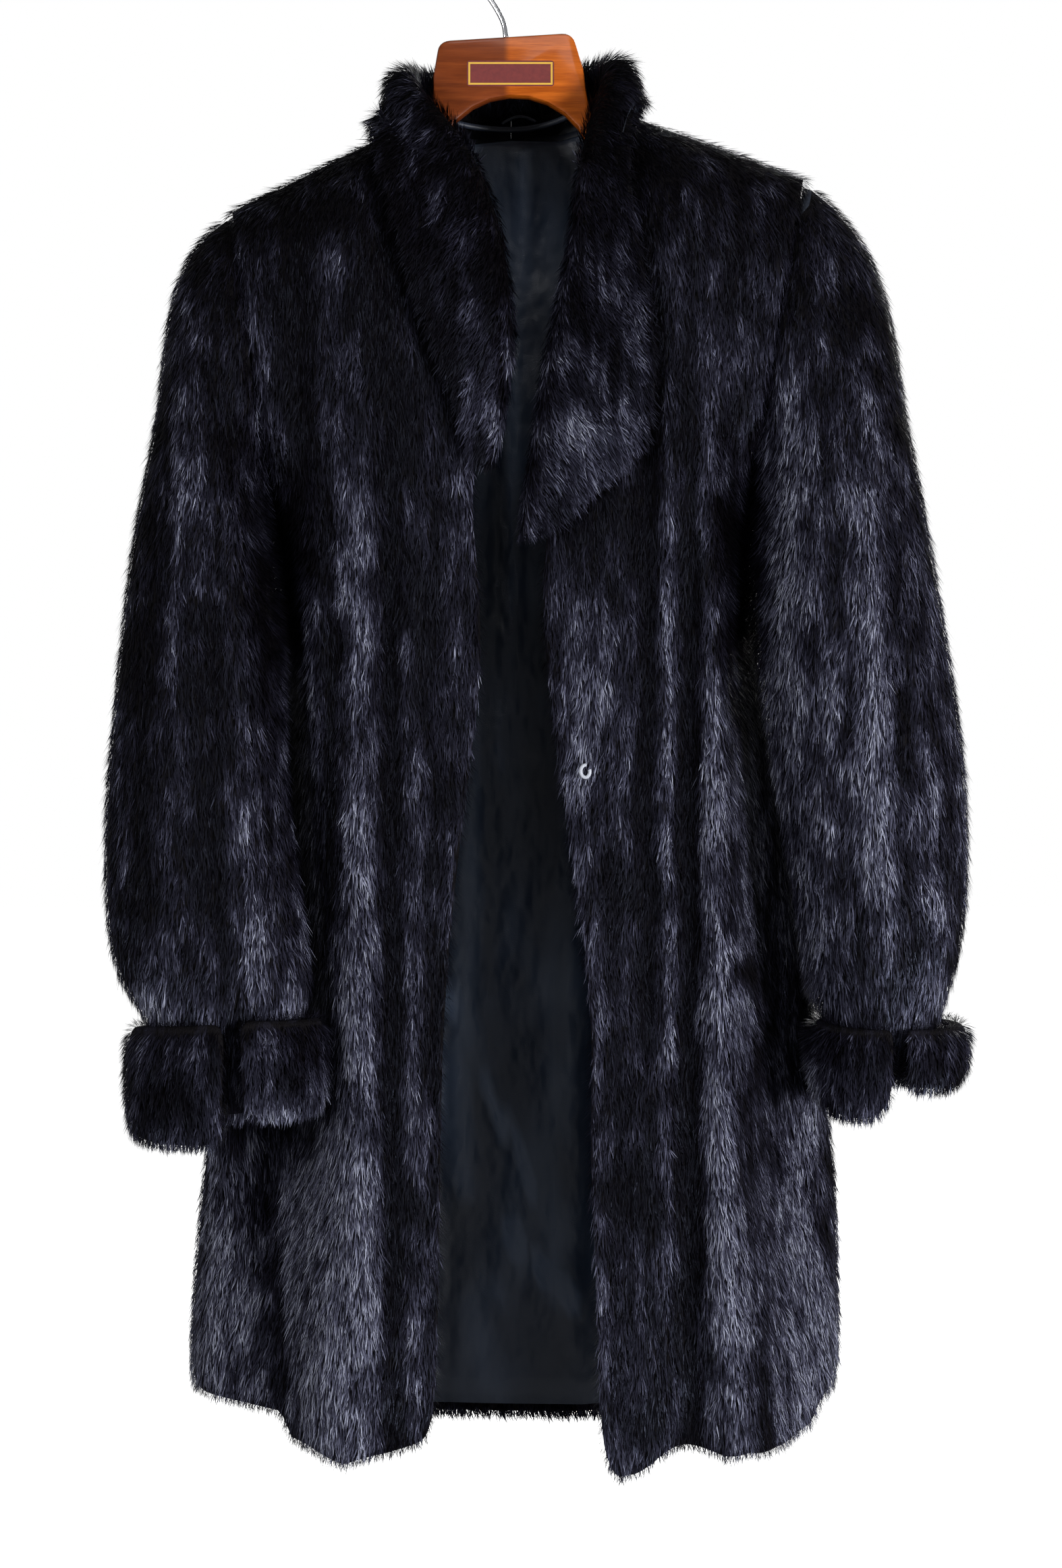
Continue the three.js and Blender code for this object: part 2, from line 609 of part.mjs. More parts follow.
// One half of the shawl collar: up from the neck seam, over the roll, and down over the panel.
// A station has a base on the neckline or front edge, a roll, and a way for the fall to follow.
function collarStations(side) {
  const neckAcross = side.sign < 0 ? NECK_RIGHT : NECK_LEFT;
  const behind = range(COLLAR_BACK_STATIONS).map((i) => {
    const part = i / COLLAR_BACK_STATIONS;
    const turn = (Math.PI / 2) * part;
    const first = side.lapel[0];
    return {
      surface: backPoint,
      facing: 1,
      across: mix(0.5, neckAcross, part),
      row: 0,
      fallAcross: side.sign * COLLAR_FALL_ACROSS * Math.sin(turn),
      fallRows: COLLAR_FALL_ROWS * Math.cos(turn),
      stand: mix(COLLAR_STAND, first.stand, smooth(part)),
      roll: first.roll,
      upright: mix(1, first.upright, part),
    };
  });
  const front = (across, row) => frontPoint(side, across, row);
  const before = side.lapel.map((station) => ({
    surface: front,
    facing: -1,
    across: 1,
    row: station.row,
    fallAcross: acrossAtWidth(side, station.row, station.width) - 1,
    fallRows: 0,
    stand: station.stand,
    roll: station.roll,
    upright: station.upright,
  }));
  return [...behind, ...before];
}

// The place across a front that lies a given width in from its edge
function acrossAtWidth(side, row, width) {
  const edge = frontPoint(side, 1, row);
  let [near, far] = [0, 1];
  for (let i = 0; i < 20; i += 1) {
    const middle = (near + far) / 2;
    if (frontPoint(side, middle, row).distanceTo(edge) > width) near = middle;
    else far = middle;
  }
  return near;
}

function collarWall(side) {
  const stations = collarStations(side);
  const bases = stations.map((s) => s.surface(s.across, s.row));
  const last = stations.length - 1;
  const shoulder = new THREE.Vector3(-side.sign, 0, 0)
    .multiplyScalar(Math.abs(side.tip.x - side.neck.x))
    .add(new THREE.Vector3(0, 0, side.tip.drop - side.neck.drop))
    .normalize();
  const frames = stations.map((station, i) => {
    const along = bases[Math.min(last, i + 1)].clone().sub(bases[Math.max(0, i - 1)]);
    if (i === 0) along.set(side.sign, 0, 0);
    const edgeward = shoulder.clone();
    if (station.row > 0) edgeward.copy(bases[i]).sub(station.surface(0.94, station.row)).normalize();
    edgeward.lerp(new THREE.Vector3(0, 0, 1), station.upright).normalize();
    const outward = along.clone().normalize().cross(edgeward).multiplyScalar(-side.sign).normalize();
    return { base: bases[i], edgeward, outward };
  });
  const sectionAt = (station, frame, isInner) => {
    const thick = Math.min(COLLAR_WALL, station.roll - 2.5);
    const radius = isInner ? station.roll - thick : station.roll;
    const centreOut = station.roll - FUR_WALL;
    const centreUp = station.stand - station.roll + COLLAR_SEAM_RISE;
    const place = (up, out) =>
      frame.base.clone().addScaledVector(frame.edgeward, up).addScaledVector(frame.outward, out);
    const points = [place(COLLAR_SEAM_RISE, centreOut - radius)];
    for (let i = 0; i <= COLLAR_ROLL_STEPS; i += 1) {
      const turn = (Math.PI * i) / COLLAR_ROLL_STEPS;
      points.push(place(centreUp + radius * Math.sin(turn), centreOut - radius * Math.cos(turn)));
    }
    const startLift = centreOut + radius;
    const endLift = COLLAR_SPREAD + (isInner ? 0 : thick);
    for (let i = 0; i <= COLLAR_FALL_COLUMNS; i += 1) {
      const part = i / COLLAR_FALL_COLUMNS;
      const across = station.across + station.fallAcross * part;
      const row = station.row + station.fallRows * part;
      const normal = normalAt(station.surface, across, row, station.facing);
      normal.lerp(frame.outward, 1 - smooth(part * 1.5)).normalize();
      const lift = mix(startLift, endLift, smooth(part * 1.2));
      points.push(station.surface(across, row).addScaledVector(normal, lift));
    }
    return points;
  };
  const outer = stations.map((station, i) => sectionAt(station, frames[i], false));
  const inner = stations.map((station, i) => sectionAt(station, frames[i], true));
  [outer[0], inner[0]].flat().forEach((p) => {
    p.x = CENTRE_X + (side.sign * SEAM_GAP) / 2;
  });
  return wall(outer, inner);
}

// A closed tube along a curve, its section a regular polygon
function tube(curve, radius, sides, steps) {
  const section = new THREE.Shape(
    range(sides).map((i) => {
      const angle = (2 * Math.PI * i) / sides;
      return new THREE.Vector2(radius * Math.cos(angle), radius * Math.sin(angle));
    }),
  );
  return new THREE.ExtrudeGeometry(section, { steps, bevelEnabled: false, extrudePath: curve });
}

// The neck seam inside the back: the place of the piping, from the right neck point to the left
function neckSeamPoint(part, up, into) {
  const at = (shift) => backPoint(mix(NECK_RIGHT, NECK_LEFT, part + shift), 0);
  const along = at(0.01).sub(at(-0.01));
  const inward = new THREE.Vector3(along.y, -along.x, 0).normalize();
  return at(0).addScaledVector(inward, FUR_WALL + into).add(new THREE.Vector3(0, 0, up));
}

function pipingGeometry() {
  const reach = (1 - PIPING_REACH) / 2;
  const path = range(13).map((i) =>
    neckSeamPoint(mix(reach, 1 - reach, i / 12), PIPING_RADIUS + 1.2, PIPING_RADIUS + PIPING_SEAT),
  );
  return tube(new THREE.CatmullRomCurve3(path), PIPING_RADIUS, 8, 14);
}

function loopGeometry() {
  const seatRise = 2 * PIPING_RADIUS + 1.6 + LOOP_BAND / 2;
  const path = range(9).map((i) => {
    const rise = LOOP_RISE * Math.sin((Math.PI * i) / 8);
    return neckSeamPoint(LOOP_PLACE + LOOP_SPAN * (i / 8 - 0.5), seatRise + rise, PIPING_RADIUS + PIPING_SEAT);
  });
  return tube(new THREE.CatmullRomCurve3(path), LOOP_BAND / 2, 6, 12);
}

function eyeGeometry() {
  const across = acrossAtX(LEFT, EYE.x, EYE.drop);
  const seat = frontPoint(LEFT, across.part, across.row);
  const out = -(EYE.wire + 0.3 + 0.9);
  const path = range(13).map((i) => {
    const angle = THREE.MathUtils.degToRad(mix(75, 375, i / 12));
    return new THREE.Vector3(
      seat.x + EYE.halfWidth * Math.cos(angle),
      seat.y + out,
      seat.z + EYE.halfHeight * Math.sin(angle),
    );
  });
  return tube(new THREE.CatmullRomCurve3(path), EYE.wire, 6, 18);
}

// The place on a front at a given x and drop, below the underarm
function acrossAtX(side, x, drop) {
  let row = ARM_ROWS;
  let part = 1;
  for (let i = 0; i < 12; i += 1) {
    const here = frontPoint(side, part, row);
    row += ((drop + here.z) / (EDGE_HEM_DROP - EDGE_UNDERARM_DROP)) * LOWER_ROWS;
    const neighbour = frontPoint(side, part - 0.02, row);
    part = clamp01(part + ((x - here.x) * -0.02) / (neighbour.x - here.x));
  }
  return { part, row };
}

// The hanger's outline is drawn square to its own tilt, about the foot of its hook
function hangerGeometry() {
  const own = (x, drop) => {
    const up = HUB_TOP_DROP - drop;
    return new THREE.Vector2(
      x * Math.cos(HANGER_TILT) + up * Math.sin(HANGER_TILT),
      -x * Math.sin(HANGER_TILT) + up * Math.cos(HANGER_TILT),
    );
  };
  const under = FUR_WALL + LINING_GAP + LINING_WALL + ARM_CLEARANCE + HANGER_BEVEL;
  const onArm = (side, x) => {
    const part = (x - side.neck.x) / (side.tip.x - side.neck.x);
    const slope = (side.tip.drop - side.neck.drop) / Math.abs(side.tip.x - side.neck.x);
    const drop = mix(side.neck.drop, side.tip.drop, part) + under * Math.hypot(1, slope);
    return own(x, drop);
  };
  const ends = (side) => ({
    root: onArm(side, side.sign * ARM_ROOT_HALF + CENTRE_X).sub(new THREE.Vector2(0, ARM_ROOT_DIP)),
    tip: onArm(side, side.tip.x - side.sign * ARM_TIP_SHORT),
  });
  const right = ends(RIGHT);
  const left = ends(LEFT);
  const outline = new THREE.Shape();
  outline.moveTo(-HUB_TOP_HALF + HUB_CORNER, -HANGER_BEVEL);
  outline.lineTo(HUB_TOP_HALF - HUB_CORNER, -HANGER_BEVEL);
  outline.quadraticCurveTo(HUB_TOP_HALF - 1, -HANGER_BEVEL, HUB_TOP_HALF, -HUB_CORNER);
  outline.lineTo(HUB_FOOT_HALF - 1, -HUB_FOOT_DEPTH);
  outline.quadraticCurveTo(HUB_FOOT_HALF + 1, left.root.y + 3, left.root.x, left.root.y);
  outline.lineTo(left.tip.x, left.tip.y);
  outline.quadraticCurveTo(left.tip.x + 6, left.tip.y - 8, left.tip.x - 2, left.tip.y - ARM_TIP_HEIGHT);
  outline.quadraticCurveTo(
    ARCH_RADIUS + 22, -ARCH_CENTRE_DEPTH - 1, ARCH_RADIUS, -ARCH_CENTRE_DEPTH + 6,
  );
  for (let i = 1; i < 12; i += 1) {
    const angle = THREE.MathUtils.degToRad(mix(6, 174, i / 12));
    outline.lineTo(
      ARCH_RADIUS * Math.cos(angle),
      -ARCH_CENTRE_DEPTH + ARCH_RADIUS * Math.sin(angle),
    );
  }
  outline.lineTo(-ARCH_RADIUS, -ARCH_CENTRE_DEPTH + 6);
  outline.quadraticCurveTo(
    -ARCH_RADIUS - 22, -ARCH_CENTRE_DEPTH - 1, right.tip.x + 2, right.tip.y - ARM_TIP_HEIGHT,
  );
  outline.quadraticCurveTo(right.tip.x - 6, right.tip.y - 8, right.tip.x, right.tip.y);
  outline.lineTo(right.root.x, right.root.y);
  outline.quadraticCurveTo(-HUB_FOOT_HALF - 1, right.root.y + 3, -HUB_FOOT_HALF + 1, -HUB_FOOT_DEPTH);
  outline.lineTo(-HUB_TOP_HALF, -HUB_CORNER);
  outline.quadraticCurveTo(-HUB_TOP_HALF + 1, -HANGER_BEVEL, -HUB_TOP_HALF + HUB_CORNER, -HANGER_BEVEL);
  const geometry = new THREE.ExtrudeGeometry(outline, {
    depth: HANGER_THICKNESS - 2 * HANGER_BEVEL,
    bevelThickness: HANGER_BEVEL,
    bevelSize: HANGER_BEVEL,
    bevelSegments: 2,
    curveSegments: 5,
  });
  geometry.translate(0, 0, -HANGER_THICKNESS / 2 + HANGER_BEVEL);
  geometry.rotateX(Math.PI / 2);
  geometry.rotateY(-HANGER_TILT);
  return geometry;
}

// The hook: a straight shank that bows to the right arm's side and turns over its seat
function hookCurve() {
  const radius = HOOK_INNER_RADIUS + WIRE_RADIUS;
  const onLoop = (degrees) => {
    const angle = THREE.MathUtils.degToRad(degrees);
    return new THREE.Vector3(radius * Math.cos(angle), 0, -HOOK_INNER_RADIUS + radius * Math.sin(angle));
  };
  const shank = [
    new THREE.Vector3(0, 0, -HUB_TOP_DROP + SEAM_GAP),
    new THREE.Vector3(-1.5, 0, -60),
    new THREE.Vector3(-9.5, 0, -45),
  ];
  const loop = range(10).map((i) => onLoop(mix(205, -30, i / 9)));
  return new THREE.CatmullRomCurve3([...shank, ...loop], false, "centripetal");
}

const finish = (colour, roughness, metalness = 0) =>
  new THREE.MeshStandardMaterial({ color: colour, roughness, metalness });
const FUR = finish(0x17151b, 0.55);
const SATIN = finish(0x141a26, 0.4);
const THREAD = finish(0x6f7178, 0.7);
const VARNISHED_WOOD = finish(0x8c3f12, 0.3);
const CHROME = finish(0xc9ccd2, 0.15, 1);

const coat = new THREE.Group();

function add(name, geometry, material) {
  const mesh = new THREE.Mesh(geometry, material);
  mesh.name = name;
  coat.add(mesh);
  return mesh;
}

const liningFrom = FUR_WALL + LINING_GAP;
[RIGHT, LEFT].forEach((side) => {
  add(`${side.name}_front`, frontWall(side, ALL_ROWS, 0, FUR_WALL), FUR);
  add(`lining_${side.name}_front`, frontWall(side, ALL_ROWS, liningFrom, LINING_WALL), SATIN);
  add(`${side.name}_sleeve`, sleeveWall(side), FUR);
  add(`${side.name}_cuff`, cuffWall(side), FUR);
  add(`collar_${side.name}`, collarWall(side), FUR);
});
add("back", backWall(ALL_ROWS, 0, FUR_WALL), FUR);
add("lining_back", backWall(ALL_ROWS, liningFrom, LINING_WALL), SATIN);
add("neck_piping", pipingGeometry(), SATIN);
add("hang_loop", loopGeometry(), SATIN);
add("fur_eye", eyeGeometry(), THREAD);

const hanger = add("hanger_body", hangerGeometry(), VARNISHED_WOOD);
hanger.position.z = -HUB_TOP_DROP;
add("hanger_hook", tube(hookCurve(), WIRE_RADIUS, 10, 40), CHROME);

export default coat;
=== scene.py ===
import math

import bmesh
import bpy
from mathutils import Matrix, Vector, noise
from mathutils.bvhtree import BVHTree


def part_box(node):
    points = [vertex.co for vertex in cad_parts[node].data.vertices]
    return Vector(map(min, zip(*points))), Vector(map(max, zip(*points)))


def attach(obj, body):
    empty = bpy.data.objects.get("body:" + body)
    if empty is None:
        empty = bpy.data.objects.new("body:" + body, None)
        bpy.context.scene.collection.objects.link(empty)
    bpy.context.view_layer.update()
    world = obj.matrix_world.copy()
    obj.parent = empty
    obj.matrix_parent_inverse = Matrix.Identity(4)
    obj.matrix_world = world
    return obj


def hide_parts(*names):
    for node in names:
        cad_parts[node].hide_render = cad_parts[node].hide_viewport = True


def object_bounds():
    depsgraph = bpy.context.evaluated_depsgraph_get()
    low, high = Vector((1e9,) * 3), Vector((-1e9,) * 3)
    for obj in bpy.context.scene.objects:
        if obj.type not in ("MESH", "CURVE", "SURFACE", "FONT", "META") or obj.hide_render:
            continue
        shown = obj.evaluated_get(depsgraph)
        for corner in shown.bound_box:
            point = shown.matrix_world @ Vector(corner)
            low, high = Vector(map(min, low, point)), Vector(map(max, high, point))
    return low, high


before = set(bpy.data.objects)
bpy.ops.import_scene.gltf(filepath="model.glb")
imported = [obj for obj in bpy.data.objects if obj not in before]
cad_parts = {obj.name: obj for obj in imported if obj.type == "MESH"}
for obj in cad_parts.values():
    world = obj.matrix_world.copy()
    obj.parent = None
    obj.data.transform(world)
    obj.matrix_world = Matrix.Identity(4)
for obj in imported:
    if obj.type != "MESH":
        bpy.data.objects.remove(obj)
cad_low, cad_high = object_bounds()

# Camera
# The photograph was taken level, from in front of the middle of the coat. It is taller than
# wide, so the view's angle is that of its height.
HALF_VIEW = math.radians(12.29)
CAMERA_PLACE = (0.01665, -2.4, -0.567)
camera_data = bpy.data.cameras.new("camera")
camera_data.lens = camera_data.sensor_width / 2 / math.tan(HALF_VIEW)
camera = bpy.data.objects.new("camera", camera_data)
camera.location = CAMERA_PLACE
camera.rotation_euler = (math.radians(90), 0, 0)
bpy.context.collection.objects.link(camera)
bpy.context.scene.camera = camera
bpy.context.scene.view_settings.view_transform = "Standard"

# Studio
# A pale floor some way under the hem, a white room, and large soft lights, the strongest of
# them low and from the right, which is where the fur catches most light in the photograph.
class Graph:
    """A node tree that is being built."""

    def __init__(self, tree):
        self.tree = tree

    def node(self, kind, settings=None, values=None, output=0):
        """Adds a node, with its settings set first, and gives back one of its outputs."""
        added = self.tree.nodes.new(kind)
        for name, value in (settings or {}).items():
            if name == "stops":
                ramp = added.color_ramp.elements
                while len(ramp) < len(value):
                    ramp.new(0.5)
                for stop, (place, colour) in zip(ramp, value):
                    stop.position = place
                    stop.color = (*colour, 1)
            else:
                setattr(added, name, value)
        if isinstance(values, dict):
            wanted = values.items()
        else:
            wanted = enumerate(values or [])
        for key, value in wanted:
            if isinstance(key, str):
                socket = next(s for s in added.inputs if s.name == key and s.enabled)
            else:
                socket = added.inputs[key]
            if isinstance(value, Socket):
                self.tree.links.new(value.link, socket)
            elif value is not None:
                socket.default_value = value
        if isinstance(output, str):
            chosen = next(s for s in added.outputs if s.name == output and s.enabled)
        else:
            chosen = [s for s in added.outputs if s.enabled][output]
        return Socket(self, chosen)

    def feed(self, shader, name, socket):
        """Links a socket to one of the shader's own sockets."""
        self.tree.links.new(socket.link, shader.inputs[name])

    def emboss(self, shader, height, strength, distance):
        """Gives the shader a relief, through a Bump node."""
        values = {"Strength": strength, "Distance": distance, "Height": height}
        self.feed(shader, "Normal", self.node("ShaderNodeBump", None, values))


class Socket:
    """A node's output. Maths written on it adds Math nodes."""

    def __init__(self, graph, link):
        self.graph = graph
        self.link = link

    def math(self, operation, *values):
        """A Math node on the given values."""
        return self.graph.node("ShaderNodeMath", {"operation": operation}, list(values))

    def __add__(self, other):
        return self.math("ADD", self, other)

    def __radd__(self, other):
        return self.math("ADD", other, self)

    def __sub__(self, other):
        return self.math("SUBTRACT", self, other)

    def __rsub__(self, other):
        return self.math("SUBTRACT", other, self)

    def __mul__(self, other):
        return self.math("MULTIPLY", self, other)

    def __rmul__(self, other):
        return self.math("MULTIPLY", other, self)

    def __abs__(self):
        return self.math("ABSOLUTE", self)

    def or_more(self, other):
        """The larger of the two."""
        return self.math("MAXIMUM", self, other)

    def coloured(self, stops):
        """The colours of a ramp, at this value."""
        return self.graph.node("ShaderNodeValToRGB", {"stops": stops}, [self])

    def clamped(self):
        return self.graph.node("ShaderNodeClamp", None, [self, 0.0, 1.0])

    def between(self, low, high):
        """0 at low, 1 at high, smooth between them."""
        settings = {"interpolation_type": "SMOOTHSTEP"}
        return self.graph.node("ShaderNodeMapRange", settings, [self, low, high, 0.0, 1.0])


def new_material(name, roughness=0.5, specular=0.5):
    """A material, its node tree, its Object coordinates and its shader."""
    material = bpy.data.materials.new(name)
    material.use_nodes = True
    graph = Graph(material.node_tree)
    place = graph.node("ShaderNodeTexCoord", None, None, "Object")
    shader = material.node_tree.nodes["Principled BSDF"]
    shader.inputs["Roughness"].default_value = roughness
    shader.inputs["Specular IOR Level"].default_value = specular
    return material, graph, place, shader


FLOOR_DROP = 0.12
FLOOR_REACH = 14
FLOOR_GREY = 0.4
floor_finish, graph, place, shader = new_material("pale_floor", 0.9)
shader.inputs["Base Color"].default_value = (FLOOR_GREY, FLOOR_GREY, FLOOR_GREY, 1)
shader.inputs["Emission Strength"].default_value = 1.0
# The floor glows white for the camera alone, so that it doesn't light the coat from below
seen = graph.node("ShaderNodeLightPath", None, None, "Is Camera Ray")
glow = graph.node(
    "ShaderNodeMix",
    {"data_type": "RGBA"},
    {"Factor": seen, "A": (0, 0, 0, 1), "B": (1, 1, 1, 1)},
)
graph.feed(shader, "Emission Color", glow)
floor_mesh = bpy.data.meshes.new("studio_floor")
floor_corners = [(-1, -1), (1, -1), (1, 1), (-1, 1)]
floor_mesh.from_pydata(
    [(x * FLOOR_REACH, y * FLOOR_REACH, cad_low.z - FLOOR_DROP) for x, y in floor_corners],
    [],
    [(0, 1, 2, 3)],
)
floor_mesh.materials.append(floor_finish)
floor = bpy.data.objects.new("studio_floor", floor_mesh)
bpy.context.collection.objects.link(floor)

ROOM_SEEN = 1.0
ROOM_LIGHT = 0.24
room = bpy.data.worlds.new("white_room")
bpy.context.scene.world = room
room.use_nodes = True
backdrop = room.node_tree.nodes["Background"]
backdrop.inputs["Color"].default_value = (1, 1, 1, 1)
graph = Graph(room.node_tree)
seen = graph.node("ShaderNodeLightPath", None, None, "Is Camera Ray")
strength = graph.node(
    "ShaderNodeMapRange",
    None,
    {"Value": seen, "To Min": ROOM_LIGHT, "To Max": ROOM_SEEN},
)
graph.feed(backdrop, "Strength", strength)


def soft_light(name, place, target, width, power):
    """A round area light. Its width is in metres and its power in watts."""
    lamp = bpy.data.lights.new(name, "AREA")
    lamp.shape = "DISK"
    lamp.size = width
    lamp.energy = power
    light = bpy.data.objects.new(name, lamp)
    light.location = place
    light.rotation_euler = (Vector(target) - Vector(place)).to_track_quat("-Z", "Y").to_euler()
    bpy.context.collection.objects.link(light)


middle = (cad_low + cad_high) / 2
soft_light("right_light", (1.75, -1.8, -0.85), middle, 0.7, 240)
soft_light("left_light", (-1.7, -1.7, -0.5), middle, 0.8, 72)
soft_light("top_light", (0.2, -1.6, 1.1), middle, 0.9, 24)
soft_light("rear_light", (0.6, 2.4, 0.4), middle, 1.4, 50)


# Fur panels
# Long-haired pelts, let out into strips about 30 mm wide and sewn edge to edge. Each solid is
# dressed with a thinner skin, set in under its surface, and with guard hairs that reach it.
def mottle(graph, place, size, detail=2.0, seed=0.0):
    """Noise about 0, whose blotches have the given size in metres across, deep and down."""
    shrunk = graph.node(
        "ShaderNodeVectorMath",
        {"operation": "MULTIPLY_ADD"},
        [place, tuple(1 / part for part in size), (seed, seed, seed)],
    )
    values = {"Vector": shrunk, "Scale": 1.0, "Detail": detail, "Roughness": 0.55}
    return graph.node("ShaderNodeTexNoise", None, values) - 0.5


def fur_tone(graph, place, shade):
    """How light the fur is, from 0 to 1: the painted light and shade that the piece stores, with
    blotches, strips and streaks.
    """
    # The blotches are painted sheen, lighter where the hair would catch the light and darker where
    # it turns away
    blotches = mottle(graph, place, (0.017, 0.02, 0.03), 3.0)
    strips = mottle(graph, place, (0.022, 0.04, 0.11), 1.5, 7.0)
    streaks = mottle(graph, place, (0.004, 0.008, 0.05), 1.5, 3.0)
    return (shade + blotches * 1.1 + strips * 0.65 + streaks * 0.75).between(0.0, 0.92)


BLACK_BROWN = (0.0008, 0.0006, 0.0009)
DARK_VIOLET = (0.0052, 0.005, 0.0088)
STEEL_VIOLET = (0.035, 0.036, 0.054)
PALE_STEEL = (0.15, 0.158, 0.196)

skin_finish, graph, place, shader = new_material("underfur", 0.8, 0.04)
# The underfur has the same painted light and shade as the hair, from the shade that the skin stores
shade = graph.node("ShaderNodeAttribute", {"attribute_name": "shade"}, None, "Fac")
tone = fur_tone(graph, place, shade)
strands = mottle(graph, place, (0.001, 0.0025, 0.012), 2.0, 5.0)
stops = [(0.2, BLACK_BROWN), (0.65, DARK_VIOLET), (1.0, STEEL_VIOLET)]
graph.feed(shader, "Base Color", (tone * 0.6 + strands * 0.5).coloured(stops))
fine_strands = mottle(graph, place, (0.0006, 0.0015, 0.01), 2.0, 9.0)
graph.emboss(shader, fine_strands, 0.8, 0.0015)

hair_finish, graph, place, shader = new_material("guard_hair", 0.4, 0.07)
tone = graph.node("ShaderNodeAttribute", {"attribute_name": "tone"}, None, "Fac")
along = graph.node("ShaderNodeAttribute", {"attribute_name": "along"}, None, "Fac")
stops = [(0.08, BLACK_BROWN), (0.35, DARK_VIOLET), (0.66, STEEL_VIOLET), (1.0, PALE_STEEL)]
graph.feed(shader, "Base Color", (tone * (0.55 + along * 0.45)).coloured(stops))
shader.inputs["Specular Tint"].default_value = (0.6, 0.68, 1.0, 1)

inside_finish, graph, place, shader = new_material("pelt_inside", 0.6, 0.2)
weave = mottle(graph, place, (0.0015, 0.0015, 0.0015), 2.0)
stops = [(0.3, (0.002, 0.003, 0.006)), (0.7, (0.005, 0.007, 0.012))]
graph.feed(shader, "Base Color", (weave + 0.5).coloured(stops))
graph.emboss(shader, weave, 0.3, 0.0004)

MERGE = 2e-5  # points of a solid that are closer than this are one
WALL_DEPTH_LIMIT = 0.0165  # a face with another at most this far behind it is part of a wall
RAY_START = 1e-4
FACES_AWAY = -0.3  # the most that two such faces' directions may agree
SKIN_DEPTH = 0.0035
SIDE_EASE = 0.85  # how much less a skin is set in where it faces sideways, towards an arm
SHARP = math.radians(50)
OUTER, RIM, INNER = range(3)
FUR, SEAM, FREE_EDGE = range(3)  # the skin's material slots


def link_piece(name, mesh):
    piece = bpy.data.objects.new(name, mesh)
    bpy.context.collection.objects.link(piece)
    return piece


def merged_copy(node):
    """A closed copy of a solid's loose triangles, as a bmesh."""
    copy = bmesh.new()
    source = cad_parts[node].data
    points = [copy.verts.new(vertex.co) for vertex in source.vertices]
    for polygon in source.polygons:
        copy.faces.new([points[i] for i in polygon.vertices])
    bmesh.ops.remove_doubles(copy, verts=copy.verts, dist=MERGE)
    copy.normal_update()
    return copy


def mark_regions(copy):
    """Sets each face's material index: OUTER or INNER wall, or RIM between them.

    The two largest patches are the walls. A smaller one belongs to the wall that it doesn't
    face, and a patch of rim that lies inside one wall is part of it.
    """
    tree = BVHTree.FromBMesh(copy)
    copy.faces.ensure_lookup_table()
    opposite = {}
    for face in copy.faces:
        start = face.calc_center_median() - face.normal * RAY_START
        hit, normal, index, _ = tree.ray_cast(start, -face.normal, WALL_DEPTH_LIMIT)
        walled = hit is not None and normal.dot(face.normal) < FACES_AWAY
        face.material_index = OUTER if walled else RIM
        if walled:
            opposite[face] = copy.faces[index]
    sides = sorted(patches(copy, OUTER), key=area_of, reverse=True)
    for face in sides[1]:
        face.material_index = INNER
    for found in sides[2:]:
        for face in found:
            face.material_index = RIM
    for found in sides[2:]:
        faced = [opposite[face].material_index for face in found]
        for wall, behind in ((OUTER, INNER), (INNER, OUTER)):
            if faced.count(behind) > len(found) / 2:
                for face in found:
                    face.material_index = wall
    for found in patches(copy, RIM):
        around = {
            other.material_index
            for face in found
            for edge in face.edges
            for other in edge.link_faces
            if other not in found
        }
        if len(around) == 1:
            for face in found:
                face.material_index = min(around)


def area_of(faces):
    return sum(face.calc_area() for face in faces)


def patches(copy, region):
    """The faces of one region, as sets of faces that touch and aren't parted by a sharp edge."""
    waiting = {face for face in copy.faces if face.material_index == region}
    sets = []
    while waiting:
        found = {waiting.pop()}
        edge_of_search = list(found)
        while edge_of_search:
            face = edge_of_search.pop()
            smooth_edges = [edge for edge in face.edges if edge.calc_face_angle(0) < SHARP]
            for other in {other for edge in smooth_edges for other in edge.link_faces}:
                if other in waiting:
                    waiting.remove(other)
                    found.add(other)
                    edge_of_search.append(other)
        sets.append(found)
    return sets


def set_in(copy, fringe_of):
    """Moves the outer wall in under its own surface, and its free edges back by their fringe."""
    moves = {}
    for vertex in copy.verts:
        kinds = {face.material_index for face in vertex.link_faces}
        if OUTER not in kinds:
            continue
        partners = [
            edge.other_vert(vertex)
            for edge in vertex.link_edges
            if OUTER not in {face.material_index for face in edge.other_vert(vertex).link_faces}
        ]
        outward = Vector()
        for face in vertex.link_faces:
            if face.material_index == OUTER:
                outward += face.normal * face.calc_area()
        outward.normalize()
        depth = SKIN_DEPTH * (1 - SIDE_EASE * abs(outward.x) ** 2)
        move = -outward * depth
        if RIM in kinds and partners:
            partner = min(partners, key=lambda other: (other.co - vertex.co).length)
            move = (partner.co - vertex.co).normalized() * depth
        moves[vertex] = move
    for vertex in copy.verts:
        back = Vector()
        for face in vertex.link_faces:
            if face.material_index == RIM:
                fringe = fringe_of(face.calc_center_median(), face.normal)
                back = max(back, -face.normal * fringe, key=lambda v: v.length)
        if back.length > 0:
            moves[vertex] = moves.get(vertex, Vector()) + back
    for vertex, move in moves.items():
        vertex.co += move


